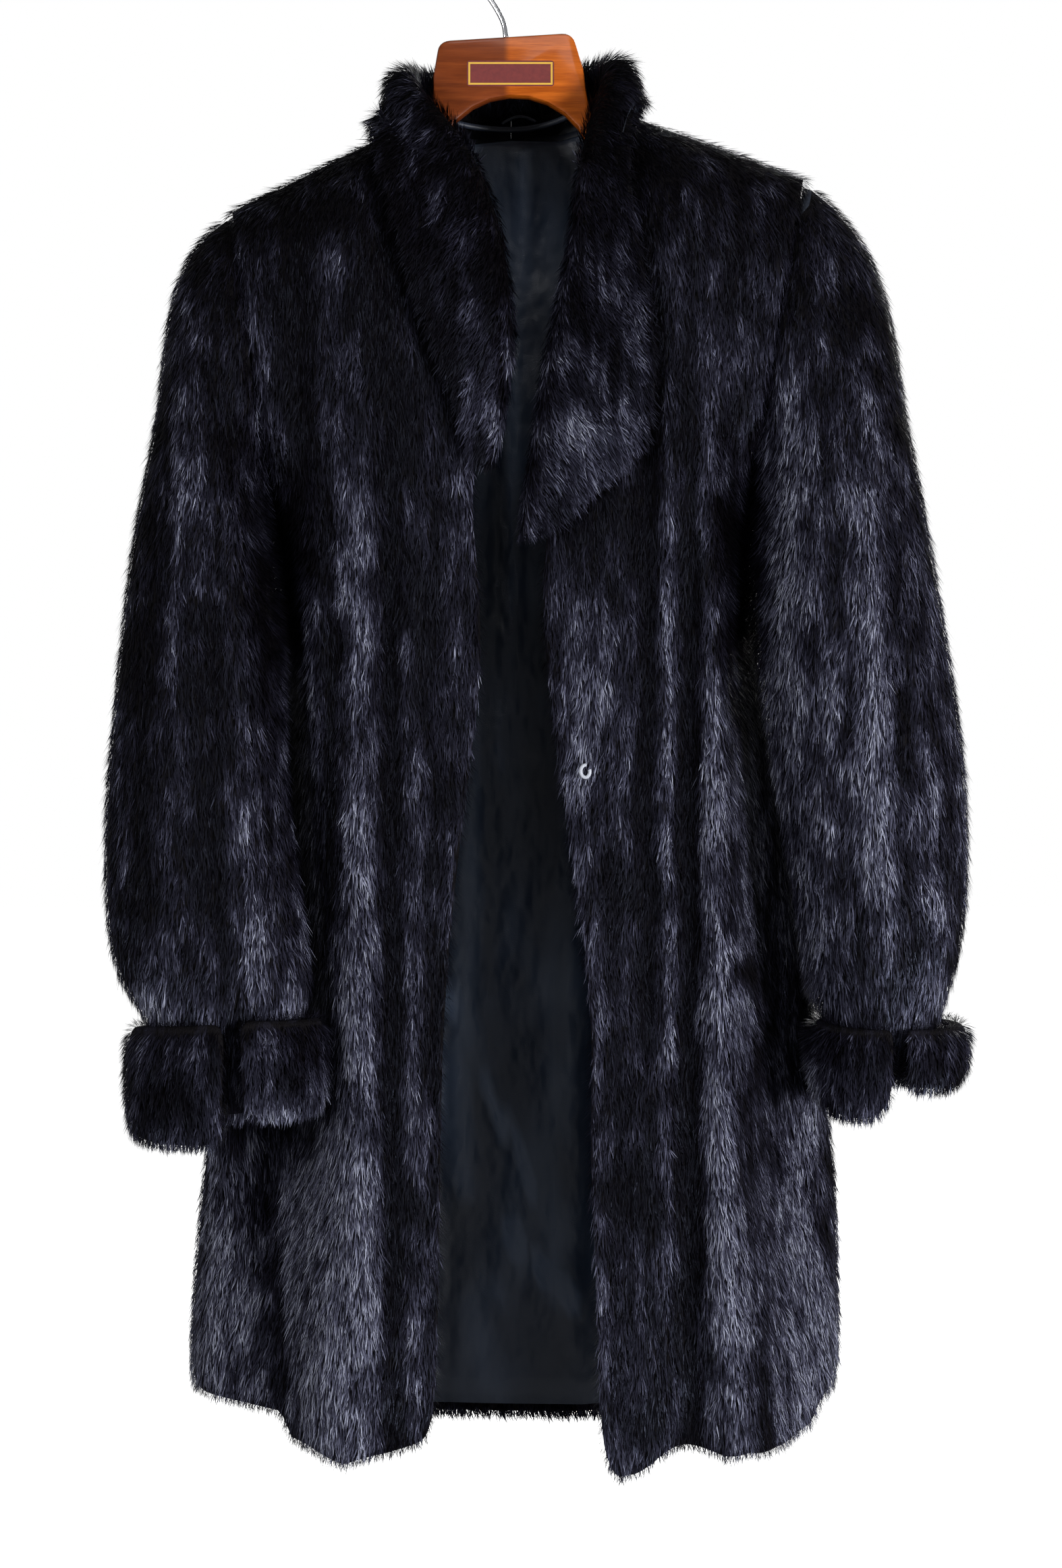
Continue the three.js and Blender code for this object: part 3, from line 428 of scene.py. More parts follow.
# Soft folds, in millimetres. "drop" is the distance below the hook. A positive depth is a trough.
FOLD_COLUMNS = ("piece", "facing", "top_x", "top_drop", "low_x", "low_drop", "half_width", "depth")
SOFT_FOLDS = [
    ("right_front", "front", -78, 250, -71, 1000, 7, 4.0),
    ("right_front", "front", -118, 330, -112, 640, 8, 3.0),
    ("right_front", "front", -97, 300, -93, 900, 10, -2.4),
    ("right_front", "front", -50, 420, -47, 760, 8, 2.5),
    ("right_front", "front", -36, 640, -52, 980, 7, 2.2),
    ("right_front", "front", -160, 790, -144, 1000, 9, 4.0),
    ("right_front", "front", -112, 700, -118, 990, 12, -2.5),
    ("right_front", "front", -136, 200, -130, 420, 8, 2.4),
    ("left_front", "front", 91, 250, 92, 720, 7, 3.4),
    ("left_front", "front", 119, 300, 119, 1000, 8, 4.0),
    ("left_front", "front", 106, 260, 104, 860, 6, -2.2),
    ("left_front", "front", 68, 560, 74, 960, 8, 2.4),
    ("left_front", "front", 149, 230, 146, 640, 8, 3.0),
    ("left_front", "front", 150, 700, 172, 990, 10, 2.2),
    ("left_front", "front", 135, 480, 138, 900, 10, -2.5),
    ("back", "back", -170, 420, -180, 980, 9, 3.0),
    ("back", "back", -92, 330, -98, 990, 10, 3.0),
    ("back", "back", -30, 300, -24, 1000, 9, 2.2),
    ("back", "back", 3, 160, 3, 620, 6, 2.0),
    ("back", "back", 84, 380, 90, 990, 9, 3.2),
    ("back", "back", 168, 430, 182, 980, 10, 2.8),
    ("right_sleeve", "front", -188, 320, -186, 690, 8, 3.2),
    ("right_sleeve", "front", -222, 400, -236, 660, 8, 2.4),
    ("right_sleeve", "front", -206, 240, -210, 620, 9, -2.2),
    ("right_sleeve", "back", -186, 300, -205, 640, 10, 2.8),
    ("left_sleeve", "front", 213, 330, 224, 690, 8, 3.0),
    ("left_sleeve", "front", 250, 380, 262, 670, 8, 2.4),
    ("left_sleeve", "front", 236, 300, 244, 640, 9, -2.2),
    ("left_sleeve", "back", 226, 320, 246, 640, 10, 2.8),
]
# Painted light and shade on the fur, in millimetres, with painted shadows at the lapels' edges and
# between body and sleeve. The joints between skins are short dark bars.
REGION_COLUMNS = ("x", "drop", "half_width", "half_height", "amount")
FUR_REGIONS = [
    # Broad painted light and shade, as the light falls on the fronts and the sleeves
    (-193, 900, 16, 130, 0.3),
    (-155, 850, 20, 120, 0.24),
    (-118, 570, 16, 220, 0.18),
    (-70, 560, 22, 220, 0.08),
    (168, 880, 30, 190, 0.14),
    (193, 920, 18, 120, 0.12),
    (148, 520, 16, 190, 0.3),
    (42, 520, 14, 200, 0.2),
    (186, 430, 14, 130, 0.5),
    (-118, 420, 14, 90, 0.2),
    (-160, 330, 12, 70, 0.2),
    (36, 300, 12, 50, 0.16),
    (118, 500, 14, 120, 0.14),
    (196, 700, 14, 70, 0.25),
    (168, 620, 8, 60, 0.14),
    (224, 520, 18, 180, 0.3),
    (262, 560, 24, 130, 0.12),
    # Painted shadow between the left sleeve and the body, then broad painted light and shade
    (170, 690, 9, 150, -0.14),
    (104, 900, 24, 130, -0.26),
    (-95, 250, 40, 60, -0.12),
    (-175, 560, 30, 120, -0.1),
    (-140, 940, 30, 60, 0.1),
    # Painted shade in the deepest troughs and in the crease between the right sleeve and the body
    (-73, 660, 5, 380, -0.3),
    (-115, 480, 4, 130, -0.25),
    (119, 760, 5, 330, -0.34),
    (92, 480, 4, 250, -0.22),
    (-205, 520, 5, 220, -0.25),
    # More painted light and shade, with painted light on the lower part of the left lapel, which
    # faces up to the light
    (-165, 610, 14, 100, 0.16),
    (-242, 560, 16, 150, -0.08),
    (55, 340, 24, 24, 0.3),
    (70, 250, 26, 60, 0.05),
    (-44, 325, 22, 45, -0.1),
    (-70, 300, 16, 60, -0.08),
    # The cuffs: painted shade, with painted highlights above the right cuff and along its flap's
    # edges
    (-182, 756, 80, 40, -0.26),
    (-225, 706, 22, 11, 0.4),
    (-173, 738, 3.5, 22, 0.4),
    (-142, 775, 26, 6, 0.35),
    (250, 745, 60, 32, -0.12),
    # Painted shadows along the lapels' outer edges
    (-67, 221, 5, 30, -0.35),
    (-51, 270, 5, 26, -0.35),
    (-34, 314, 5, 24, -0.35),
    (-15, 352, 5, 20, -0.35),
    (80, 173, 4, 26, -0.3),
    (91, 217, 4, 26, -0.35),
    (103, 260, 4, 24, -0.35),
    (100, 306, 5, 24, -0.4),
    (94, 348, 6, 14, -0.45),
    (72, 376, 13, 6, -0.5),
    (50, 393, 13, 6, -0.5),
    (26, 408, 13, 6, -0.45),
    # Joints between skins
    (90, 637, 18, 7, -0.75),
    (153, 682, 13, 7, -0.75),
    (-62, 837, 14, 7, -0.75),
    (72, 828, 20, 8, -0.75),
    (-112, 470, 15, 5, -0.35),
    (-226, 640, 14, 6, -0.35),
    (250, 470, 15, 5, -0.35),
    (128, 800, 12, 5, -0.35),
    (-95, 640, 13, 5, -0.4),
]
# Painted light and shade: the fur is painted darker at the shoulders and lighter towards the hem, as
# the light falls on it.
TOP_SHADE = 0.28
HEM_SHADE = 0.52
# Painted light on the folds' crests and painted shade in their troughs
FOLD_PAINTED_SHADE = 95  # how much lighter the fur is, for each metre that it stands out


def tabled(columns, rows):
    """Each row of a table as a dictionary."""
    return [dict(zip(columns, row)) for row in rows]


# How much further down the hair skin hangs at the hem, in millimetres: position across, and drop
HEM_FALLS = {
    "right_front": [
        (-200, 2),
        (-148, 6),
        (-140, 20),
        (-113, 10),
        (-96, 9),
        (-78, 14),
        (-52, 18),
        (-40, 13),
    ],
    "left_front": [
        (53, 9),
        (61, 27),
        (79, 11),
        (97, 13),
        (114, 9),
        (140, 7),
        (158, 3),
        (184, 10),
        (201, 7),
        (210, -7),
    ],
}
HEM_FALL_START = 0.86  # metres below the hook, and the fall is whole at HEM_FALL_FULL
HEM_FALL_FULL = 0.96
FOLDS = tabled(FOLD_COLUMNS, SOFT_FOLDS)
REGIONS = tabled(REGION_COLUMNS, FUR_REGIONS)
FOLD_START = -0.1  # a fold begins and ends at these parts of its length
FOLD_END = 1.05
FOLD_EASE = 0.3
FOLD_WANDER = 3  # millimetres aside, in waves of about WANDER_RUN
WANDER_RUN = 90
DEPTH_CHANGE = 0.5  # part of a fold's depth, in waves of about DEPTH_RUN
DEPTH_RUN = 60
# The painted light grows over this run, from the shoulders down towards the hem.
SHADE_START = 180  # millimetres below the hook, where the fur begins to get lighter
SHADE_RUN = 760


def fold_rise(node, place, faces_front):
    """How far the folds lift the fur at a point, in metres."""
    facing = "front" if faces_front else "back"
    rise = 0.0
    for fold in FOLDS:
        if fold["piece"] != node or fold["facing"] != facing:
            continue
        drop = -place.z * 1000
        length = fold["low_drop"] - fold["top_drop"]
        part = (drop - fold["top_drop"]) / length
        if not FOLD_START < part < FOLD_END:
            continue
        aside = place.x * 1000 - fold["top_x"] - (fold["low_x"] - fold["top_x"]) * part
        aside += FOLD_WANDER * noise.noise(Vector((fold["top_x"], drop / WANDER_RUN, 0)))
        ease = min(1.0, (part - FOLD_START) / FOLD_EASE)
        change = DEPTH_CHANGE * noise.noise(Vector((fold["top_x"], drop / DEPTH_RUN, 5)))
        depth = fold["depth"] * ease * (1 + change)
        rise -= depth / 1000 * math.exp(-((aside / fold["half_width"]) ** 2))
    return rise


def hem_fall(node, place):
    """How far the hem of a front hangs below its solid's hem, in metres."""
    stops = HEM_FALLS.get(node)
    part = (-place.z - HEM_FALL_START) / (HEM_FALL_FULL - HEM_FALL_START)
    if stops is None or part <= 0:
        return 0.0
    x = min(max(place.x * 1000, stops[0][0]), stops[-1][0])
    for (low_x, low_fall), (high_x, high_fall) in zip(stops, stops[1:]):
        if x <= high_x:
            fall = low_fall + (high_fall - low_fall) * (x - low_x) / (high_x - low_x)
            return min(1.0, part) ** 2 * fall / 1000
    return 0.0


def shade_at(place):
    """The fur's painted light and shade at a point: darkest at the shoulders, lightest at the hem.
    """
    drop = -place.z * 1000
    fall = min(1.0, max(0.0, (drop - SHADE_START) / SHADE_RUN))
    shade = TOP_SHADE + (HEM_SHADE - TOP_SHADE) * fall
    for region in REGIONS:
        across = (place.x * 1000 - region["x"]) / region["half_width"]
        down = (drop - region["drop"]) / region["half_height"]
        shade += region["amount"] * math.exp(-(across**2) - down**2)
    return shade


ARMHOLE_SIDE = 0.12  # past here and above the level, seam faces carry hair, which closes the seam
ARMHOLE_LEVEL = -0.26
# Two triangles are joined into a quad within these angles
QUAD_LIMITS = {
    "angle_face_threshold": math.radians(50),
    "angle_shape_threshold": math.radians(75),
}


def baked(piece, name):
    """The evaluated mesh of a piece, whose own object is then removed."""
    bpy.context.view_layer.update()
    evaluated = piece.evaluated_get(bpy.context.evaluated_depsgraph_get())
    mesh = bpy.data.meshes.new_from_object(evaluated)
    mesh.name = name
    bpy.data.objects.remove(piece)
    return mesh


def rounded_piece(copy, name, finishes, levels):
    """A finer, rounded piece made from a bmesh, which is then freed."""
    mesh = bpy.data.meshes.new(name)
    copy.to_mesh(mesh)
    copy.free()
    for finish in finishes:
        mesh.materials.append(finish)
    coarse = link_piece(name + "_coarse", mesh)
    rounding = coarse.modifiers.new("rounding", "SUBSURF")
    rounding.levels = levels
    rounding.render_levels = levels
    return link_piece(name, baked(coarse, name))


def fur_skin(node, name, fringe_of, levels):
    """The skin of a piece: closed, rounded at its free edges and flush at its seams."""
    copy = merged_copy(node)
    mark_regions(copy)
    free = {
        face
        for face in copy.faces
        if face.material_index == RIM and fringe_of(face.calc_center_median(), face.normal) > 0
    }
    set_in(copy, fringe_of)
    crease = copy.edges.layers.float.new("crease_edge")
    for edge in copy.edges:
        kinds = {face.material_index for face in edge.link_faces}
        if RIM in kinds and len(kinds) > 1 and not any(face in free for face in edge.link_faces):
            edge[crease] = 1.0
    for face in copy.faces:
        middle_of_face = face.calc_center_median()
        at_armhole = abs(middle_of_face.x) > ARMHOLE_SIDE and middle_of_face.z > ARMHOLE_LEVEL
        hidden = face.material_index == INNER or face.material_index == RIM and not at_armhole
        if face in free:
            face.material_index = FREE_EDGE
        elif hidden:
            face.material_index = SEAM
        else:
            face.material_index = FUR
        face.smooth = True
    bmesh.ops.join_triangles(copy, faces=copy.faces, cmp_materials=True, **QUAD_LIMITS)
    return rounded_piece(copy, name, (skin_finish, inside_finish, skin_finish), levels)


EDGE_DENSITY = 600000  # hairs for each square metre of a free edge
GAP_LIFT = 0.9
GAP_GROWTH = 2.5
GAP_SIDEWAYS = 0.4  # only faces that look aside at least this much lie in a gap
SMALL_WAVES = 30  # how often the nap turns, in a metre
LARGE_WAVES = 9
NAP_TURN = 0.16
# Gaps between body and sleeve that the hair closes: x, drop, half width and half height
GAPS = [(-0.149, 0.41, 0.022, 0.1), (0.16, 0.405, 0.022, 0.1), (0.2, 0.712, 0.026, 0.03)]


def nearness_to_gap(place, normal):
    """1 where body and sleeve face each other across a gap, 0 away from it."""
    nearest = 0.0
    for x, drop, half_width, half_height in GAPS:
        beside = math.exp(-(((place.x - x) / half_width) ** 2))
        nearest = max(nearest, beside * math.exp(-(((-place.z - drop) / half_height) ** 2)))
    return nearest * max(0.0, abs(normal.x) - GAP_SIDEWAYS) / (1 - GAP_SIDEWAYS)


def fold_and_shade(skin, node, nap_of, density):
    """Folds the furry side of a skin, and stores its shade, its nap and where hair grows."""
    mesh = skin.data
    furry = set()
    edge_points = set()
    for face in mesh.polygons:
        group = furry if face.material_index == FUR else edge_points
        group.update(face.vertices)
    normals = [vertex.normal.copy() for vertex in mesh.vertices]
    shades = []
    directions = []
    lifts = []
    for vertex, normal in zip(mesh.vertices, normals):
        place = vertex.co.copy()
        rise = fold_rise(node, place, normal.y < 0)
        if vertex.index in furry and vertex.index not in edge_points:
            vertex.co = place + normal * rise
        vertex.co.z -= hem_fall(node, place)
        # Painted light on the folds' crests and painted shade in their troughs, by how far the fold
        # lifts the fur
        shades.append(shade_at(place) + FOLD_PAINTED_SHADE * rise)
        turn = noise.noise_vector(place * SMALL_WAVES) * NAP_TURN
        turn += noise.noise_vector(place * LARGE_WAVES) * NAP_TURN
        directions.extend((nap_of(place, normal).normalized() + turn).normalized())
        # Nearness to a gap lifts the hair there, and also gives it painted shade
        lifts.append(GAP_LIFT * nearness_to_gap(place, normal))
    mesh.attributes.new("shade", "FLOAT", "POINT").data.foreach_set("value", shades)
    mesh.attributes.new("nap", "FLOAT_VECTOR", "POINT").data.foreach_set("vector", directions)
    mesh.attributes.new("lift", "FLOAT", "POINT").data.foreach_set("value", lifts)
    growth_of = {FUR: 1.0, SEAM: 0.0, FREE_EDGE: EDGE_DENSITY / density}
    growth = [
        growth_of[face.material_index] * (1 + GAP_GROWTH * nearness_to_gap(face.center, face.normal))
        for face in mesh.polygons
    ]
    mesh.attributes.new("growth", "FLOAT", "FACE").data.foreach_set("value", growth)
    fringe = [float(face.material_index == FREE_EDGE) for face in mesh.polygons]
    mesh.attributes.new("fringe", "FLOAT", "FACE").data.foreach_set("value", fringe)


# One hair is a bent blade of two triangles, a unit long and wide, narrow at its root and its tip
hair_shapes = bpy.data.collections.new("hair_shapes")
HAIR_BENDS = (-1.6, -0.6, 0.5, 1.5)
WIDEST_AT = 0.42
RAISED_BY = 0.04
for bend in HAIR_BENDS:
    hair_mesh = bpy.data.meshes.new("hair")
    left = (bend * 0.3 - 0.5, WIDEST_AT, RAISED_BY)
    right = (bend * 0.3 + 0.5, WIDEST_AT, RAISED_BY)
    hair_mesh.from_pydata([(0, 0, 0), left, right, (bend, 1, 0)], [], [(0, 2, 1), (1, 2, 3)])
    part_along = hair_mesh.attributes.new("along", "FLOAT", "POINT")
    part_along.data.foreach_set("value", [0, 0.5, 0.5, 1])
    for face in hair_mesh.polygons:
        face.use_smooth = True
    hair_shapes.objects.link(bpy.data.objects.new("hair", hair_mesh))


# How one hair differs from the next: parts of the length and the width, and turns in radians
LENGTH_RANGE = (0.6, 1.15)
WIDTH_RANGE = (0.6, 1.25)
ROLL_RANGE = (-0.5, 0.5)
YAW_RANGE = (-0.17, 0.17)
STRAY_LIFT = 0.35  # how much further the few hairs that stand out most are lifted
TUFTING = 1.6  # how much the lift changes from tuft to tuft
SWIRL = 0.9
DULLEST = 0.56  # the tone of the dullest hairs, as a part of their patch's tone
GAIN = 0.7  # what the lightest have more
# The fringe at a free edge stands off, and is shorter and thinner, with painted shade. A gap's hair
# between body and sleeve has painted shade.
FRINGE_LIFT = 0.6
FRINGE_PAINTED_SHADE = 0.5
FRINGE_SHORTER = 0.3
FRINGE_THINNER = 0.5
GAP_PAINTED_SHADE = 0.6


def hair_tree():
    """Geometry Nodes that grow hairs on a skin, along its nap."""
    tree = bpy.data.node_groups.new("guard_hairs", "GeometryNodeTree")
    tree.interface.new_socket("Geometry", in_out="INPUT", socket_type="NodeSocketGeometry")
    named = {
        "Hairs per square metre": "NodeSocketFloat",
        "Length": "NodeSocketFloat",
        "Width": "NodeSocketFloat",
        "Lift": "NodeSocketFloat",
        "Seed": "NodeSocketInt",
        "Shapes": "NodeSocketCollection",
        "Finish": "NodeSocketMaterial",
    }
    for label, kind in named.items():
        tree.interface.new_socket(label, in_out="INPUT", socket_type=kind)
    tree.interface.new_socket("Geometry", in_out="OUTPUT", socket_type="NodeSocketGeometry")
    graph = Graph(tree)
    entry = tree.nodes.new("NodeGroupInput")
    given = {socket.name: Socket(graph, socket) for socket in entry.outputs if socket.name}

    def attribute(name, kind):
        return graph.node("GeometryNodeInputNamedAttribute", {"data_type": kind}, {"Name": name})

    def chance(low, high, seed):
        values = {"Min": low, "Max": high, "Seed": given["Seed"] + seed}
        return graph.node("FunctionNodeRandomValue", {"data_type": "FLOAT"}, values)

    growth = attribute("growth", "FLOAT")
    scatter = tree.nodes.new("GeometryNodeDistributePointsOnFaces")
    tree.links.new(given["Geometry"].link, scatter.inputs["Mesh"])
    tree.links.new((given["Hairs per square metre"] * growth).link, scatter.inputs["Density"])
    tree.links.new(given["Seed"].link, scatter.inputs["Seed"])
    points = Socket(graph, scatter.outputs["Points"])
    normal = Socket(graph, scatter.outputs["Normal"])
    place = graph.node("GeometryNodeInputPosition")
    patch_tone = fur_tone(graph, place, attribute("shade", "FLOAT"))
    luck = chance(0.0, 1.0, 5)
    fringe = attribute("fringe", "FLOAT")
    gap = attribute("lift", "FLOAT")
    tone = patch_tone * (DULLEST + luck * luck * GAIN) + luck * 0.03
    # Painted shade on the fringe at free edges and in the gaps between body and sleeve
    tone = tone * (1 - fringe * FRINGE_PAINTED_SHADE) * (1 - gap * GAP_PAINTED_SHADE)
    upright = graph.node("FunctionNodeAlignRotationToVector", {"axis": "Z"}, {"Vector": normal})
    laid = graph.node(
        "FunctionNodeAlignRotationToVector",
        {"axis": "Y", "pivot_axis": "Z"},
        {"Rotation": upright, "Vector": attribute("nap", "FLOAT_VECTOR")},
    )
    tufts = mottle(graph, place, (0.007, 0.007, 0.012), 1.0, 13.0)
    swirl = mottle(graph, place, (0.007, 0.007, 0.018), 1.0, 17.0)
    stray = chance(0.0, 1.0, 1)
    lift = given["Lift"] * (1 + tufts * TUFTING) + stray * stray * stray * STRAY_LIFT
    lift = lift + gap + fringe * FRINGE_LIFT
    yaw = swirl * SWIRL + chance(*YAW_RANGE, 2)
    tilt = graph.node("ShaderNodeCombineXYZ", None, [lift, chance(*ROLL_RANGE, 3), yaw])
    turned = graph.node(
        "FunctionNodeRotateRotation",
        {"rotation_space": "LOCAL"},
        {"Rotation": laid, "Rotate By": graph.node("FunctionNodeEulerToRotation", None, [tilt])},
    )
    length = given["Length"] * chance(*LENGTH_RANGE, 4) * (1 - fringe * FRINGE_SHORTER)
    width = given["Width"] * chance(*WIDTH_RANGE, 6) * (1 - fringe * FRINGE_THINNER)
    scale = graph.node("ShaderNodeCombineXYZ", None, [width, length, length])
    shapes = graph.node(
        "GeometryNodeCollectionInfo",
        None,
        {"Collection": given["Shapes"], "Separate Children": True, "Reset Children": True},
    )
    hairs = graph.node(
        "GeometryNodeInstanceOnPoints",
        None,
        {
            "Points": points,
            "Instance": shapes,
            "Pick Instance": True,
            "Rotation": turned,
            "Scale": scale,
        },
    )
    hairs = graph.node(
        "GeometryNodeStoreNamedAttribute",
        {"data_type": "FLOAT", "domain": "INSTANCE"},
        {"Geometry": hairs, "Name": "tone", "Value": tone.clamped()},
    )
    real = graph.node("GeometryNodeRealizeInstances", None, {"Geometry": hairs})
    coloured = graph.node(
        "GeometryNodeSetMaterial", None, {"Geometry": real, "Material": given["Finish"]}
    )
    leave = tree.nodes.new("NodeGroupOutput")
    tree.links.new(coloured.link, leave.inputs[0])
    return tree


growing = hair_tree()


def grow_hair(skin, name, density, length, width, lift, seed):
    """The hair of one skin, as a plain mesh."""
    patch = link_piece(name + "_patch", skin.data.copy())
    hairs = patch.modifiers.new("hairs", "NODES")
    hairs.node_group = growing
    values = {
        "Hairs per square metre": float(density),
        "Length": length,
        "Width": width,
        "Lift": lift,
        "Seed": seed,
        "Shapes": hair_shapes,
        "Finish": hair_finish,
    }
    for item in growing.interface.items_tree:
        if item.in_out == "INPUT" and item.name in values:
            hairs[item.identifier] = values[item.name]
    return link_piece(name, baked(patch, name))


def dress_in_fur(node, fringe_of, nap_of, hair, levels=2):
    """Skin and hair for one solid."""
    skin = fur_skin(node, node + "_skin", fringe_of, levels)
    fold_and_shade(skin, node, nap_of, hair["density"])
    coat = grow_hair(skin, node + "_hair", **hair)
    for piece in (skin, coat):
        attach(piece, "root")
    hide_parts(node)


HEM_FRINGE = 0.004
EDGE_FRINGE = 0.004
CENTRE_X = 0.003
HEM_LEVEL = -0.9
FRONT_EDGE_REACH = 0.075  # the front edges lie this near to the middle, in front of the neck
NECK_Y = -0.005
SHOULDER_DROP = 0.12


def panel_fringe(middle_of_face, normal):
    """The hem and the front edges are free, and every other edge is a seam."""
    if normal.z < -0.7 and middle_of_face.z < HEM_LEVEL:
        return HEM_FRINGE
    near_middle = abs(middle_of_face.x) < FRONT_EDGE_REACH and middle_of_face.y < NECK_Y
    if near_middle and abs(normal.x) > 0.5:
        return EDGE_FRINGE
    return 0


def panel_nap(place, normal):
    """Down the panel, and a little outwards at the shoulder."""
    side = 1 if place.x > CENTRE_X else -1
    at_shoulder = max(0.0, 1 + (place.z + SHOULDER_DROP) / SHOULDER_DROP)
    return Vector((side * 0.6 * at_shoulder, normal.y * (0.15 + at_shoulder), -1))


BODY_HAIR = {"length": 0.0125, "width": 0.00074, "lift": 0.2}
FRONT_HAIR = {"density": 400000, **BODY_HAIR}
BACK_HAIR = {"density": 125000, "length": 0.0155, "width": 0.0014, "lift": 0.22}
dress_in_fur("right_front", panel_fringe, panel_nap, {"seed": 1, **FRONT_HAIR})
dress_in_fur("left_front", panel_fringe, panel_nap, {"seed": 2, **FRONT_HAIR})
dress_in_fur("back", panel_fringe, panel_nap, {"seed": 3, **BACK_HAIR}, 1)

# Sleeves
# Two-seam sleeves of the same pelts, set into the armholes. Their hair spreads from the
# shoulder and then runs to the wrist.
SLEEVE_TIPS = {"right_sleeve": Vector((-0.165, 0, -0.16)), "left_sleeve": Vector((0.18, 0, -0.14))}
HAIR_SPREAD = 0.3


def no_fringe(middle_of_face, normal):
    return 0


def sleeve_nap(tip):
    """Away from the shoulder's tip near it, and straight down further off."""

    def nap(place, normal):
        away = place - tip
        spread = max(0.0, 1 - away.length / HAIR_SPREAD)
        return away.normalized() * spread + Vector((0, 0, -1)) * (1.05 - spread)

    return nap


for seed, (node, tip) in enumerate(SLEEVE_TIPS.items(), 4):
    hair = {"density": 360000, "seed": seed, **BODY_HAIR}
    dress_in_fur(node, no_fringe, sleeve_nap(tip), hair, 1)

# Cuffs
# Bands of pelt turned back over the sleeve ends and split at one place, where one end is a
# shorter flap. Their hair is shorter, and stands out further.
CUFF_FRINGE = 0.002
CUFF_CUTS = {"right_cuff": (0.34, 0.075, 0.02), "left_cuff": (0.28, 0.055, 0.012)}


def cuff_fringe(middle_of_face, normal):
    return CUFF_FRINGE


def cuff_nap(place, normal):
    return Vector((normal.x * 0.4, normal.y * 0.4, -1))


for seed, (node, cut) in enumerate(CUFF_CUTS.items(), 6):
    hair = {"density": 560000, "length": 0.0115, "width": 0.0009, "lift": 0.38, "seed": seed}
    dress_in_fur(node, cuff_fringe, cuff_nap, hair)

# Shawl collar
# Two halves joined at the centre back. It stands at the neck, rolls over and spreads into lapels.
COLLAR_FRINGE = 0.004
SEAM_CLOSING = 0.00017  # the halves meet at the centre back, without a gap to see through
LAPEL_TOP = -0.16


def collar_fringe(middle_of_face, normal):
    """Every edge is free but the seam at the centre back."""
    at_centre_back = abs(middle_of_face.x - CENTRE_X) < 0.004 and abs(normal.x) > 0.8
    return -SEAM_CLOSING if at_centre_back else COLLAR_FRINGE


def collar_nap(place, normal):
    """Up the stand, out over the roll, then down and outwards along the fall."""
    outwards = Vector((place.x - CENTRE_X, place.y, 0)).normalized()
    if place.z < LAPEL_TOP:
        side = 1 if place.x > CENTRE_X else -1
        return Vector((side * 0.5, -0.1, -1))
    faces_neck = max(0.0, -normal.dot(outwards))
    return outwards * 0.8 + Vector((0, 0, 1.6 * faces_neck - 0.8))


for seed, node in enumerate(("collar_right", "collar_left"), 8):
    hair = {"density": 560000, "length": 0.012, "width": 0.0009, "lift": 0.3, "seed": seed}
    dress_in_fur(node, collar_fringe, collar_nap, hair)

# Lining
# Dark navy satin, sewn in along the fronts and the neck. It hangs free below them, with soft
# pleats and creases.
# Painted light: the satin is painted lighter where its creases stand out, and towards the neck
CREASE_PAINTED_LIGHT = 90  # how much lighter the satin is, for each metre that it stands out
NECK_LIGHT = 0.22  # how much lighter it is at the neck than from LIT_FROM down
LIT_FROM = -0.4
LIT_WHOLE = -0.12
satin_finish, graph, place, shader = new_material("navy_satin", 0.36, 0.2)
shade = mottle(graph, place, (0.05, 0.05, 0.12), 2.0, 21.0)
stops = [
    (0.3, (0.0018, 0.0034, 0.0068)),
    (0.72, (0.0056, 0.0088, 0.0165)),
    (1.0, (0.02, 0.028, 0.045)),
]
raised_cloth = graph.node("ShaderNodeAttribute", {"attribute_name": "rise"}, None, "Fac")
height = graph.node("ShaderNodeSeparateXYZ", None, [place], "Z")
neck_light = height.between(LIT_FROM, LIT_WHOLE) * NECK_LIGHT
# Painted light on the creases and at the neck
lightness = shade + 0.5 + raised_cloth * CREASE_PAINTED_LIGHT + neck_light
graph.feed(shader, "Base Color", lightness.coloured(stops))
weft = mottle(graph, place, (0.0012, 0.0012, 0.00035), 1.0, 4.0)
crumple = mottle(graph, place, (0.02, 0.02, 0.035), 2.0, 6.0)
graph.emboss(shader, weft * 0.03 + crumple, 0.6, 0.006)

# Creases of the lining, in millimetres. A positive rise is towards the wearer.
CREASE_COLUMNS = ("top_x", "top_drop", "low_x", "low_drop", "half_width", "rise")
BACK_CREASES = tabled(
    CREASE_COLUMNS,
    [
        (10, 140, -4, 560, 3.5, 4),
        (-2, 330, -12, 700, 6, -2),
        (-22, 360, -30, 840, 8, 3.5),
        (-42, 716, -14, 724, 3, 7),
        (-38, 729, -22, 734, 2.5, 5),
        (-20, 742, -4, 806, 3.5, 6),
        (4, 800, 16, 838, 3.5, 5),
        (48, 930, 2, 876, 4.5, 6.5),
        (10, 905, -14, 930, 5, 3),
        (50, 300, 34, 930, 12, 2.5),
        (-60, 260, -75, 950, 14, 3),
        (95, 280, 105, 950, 15, 3),
        (-120, 420, -140, 960, 16, 3),
    ],
)
EVEN_RISE = 2.0
HEM_LIFT = 0.013  # the lining ends this far above the fur's hem
HEM_LIFT_START = 0.86


def crease_rise(place):
    """How far the back's lining stands off, in metres."""
    total = EVEN_RISE
    for crease in BACK_CREASES:
        top = Vector((crease["top_x"], crease["top_drop"]))
        run = Vector((crease["low_x"], crease["low_drop"])) - top
        away = Vector((place.x * 1000, -place.z * 1000)) - top
        part = min(1.0, max(0.0, away.dot(run) / run.length_squared))
        aside = (away - run * part).length
        total += crease["rise"] * math.exp(-((aside / crease["half_width"]) ** 2))
    return max(0.0, total) / 1000


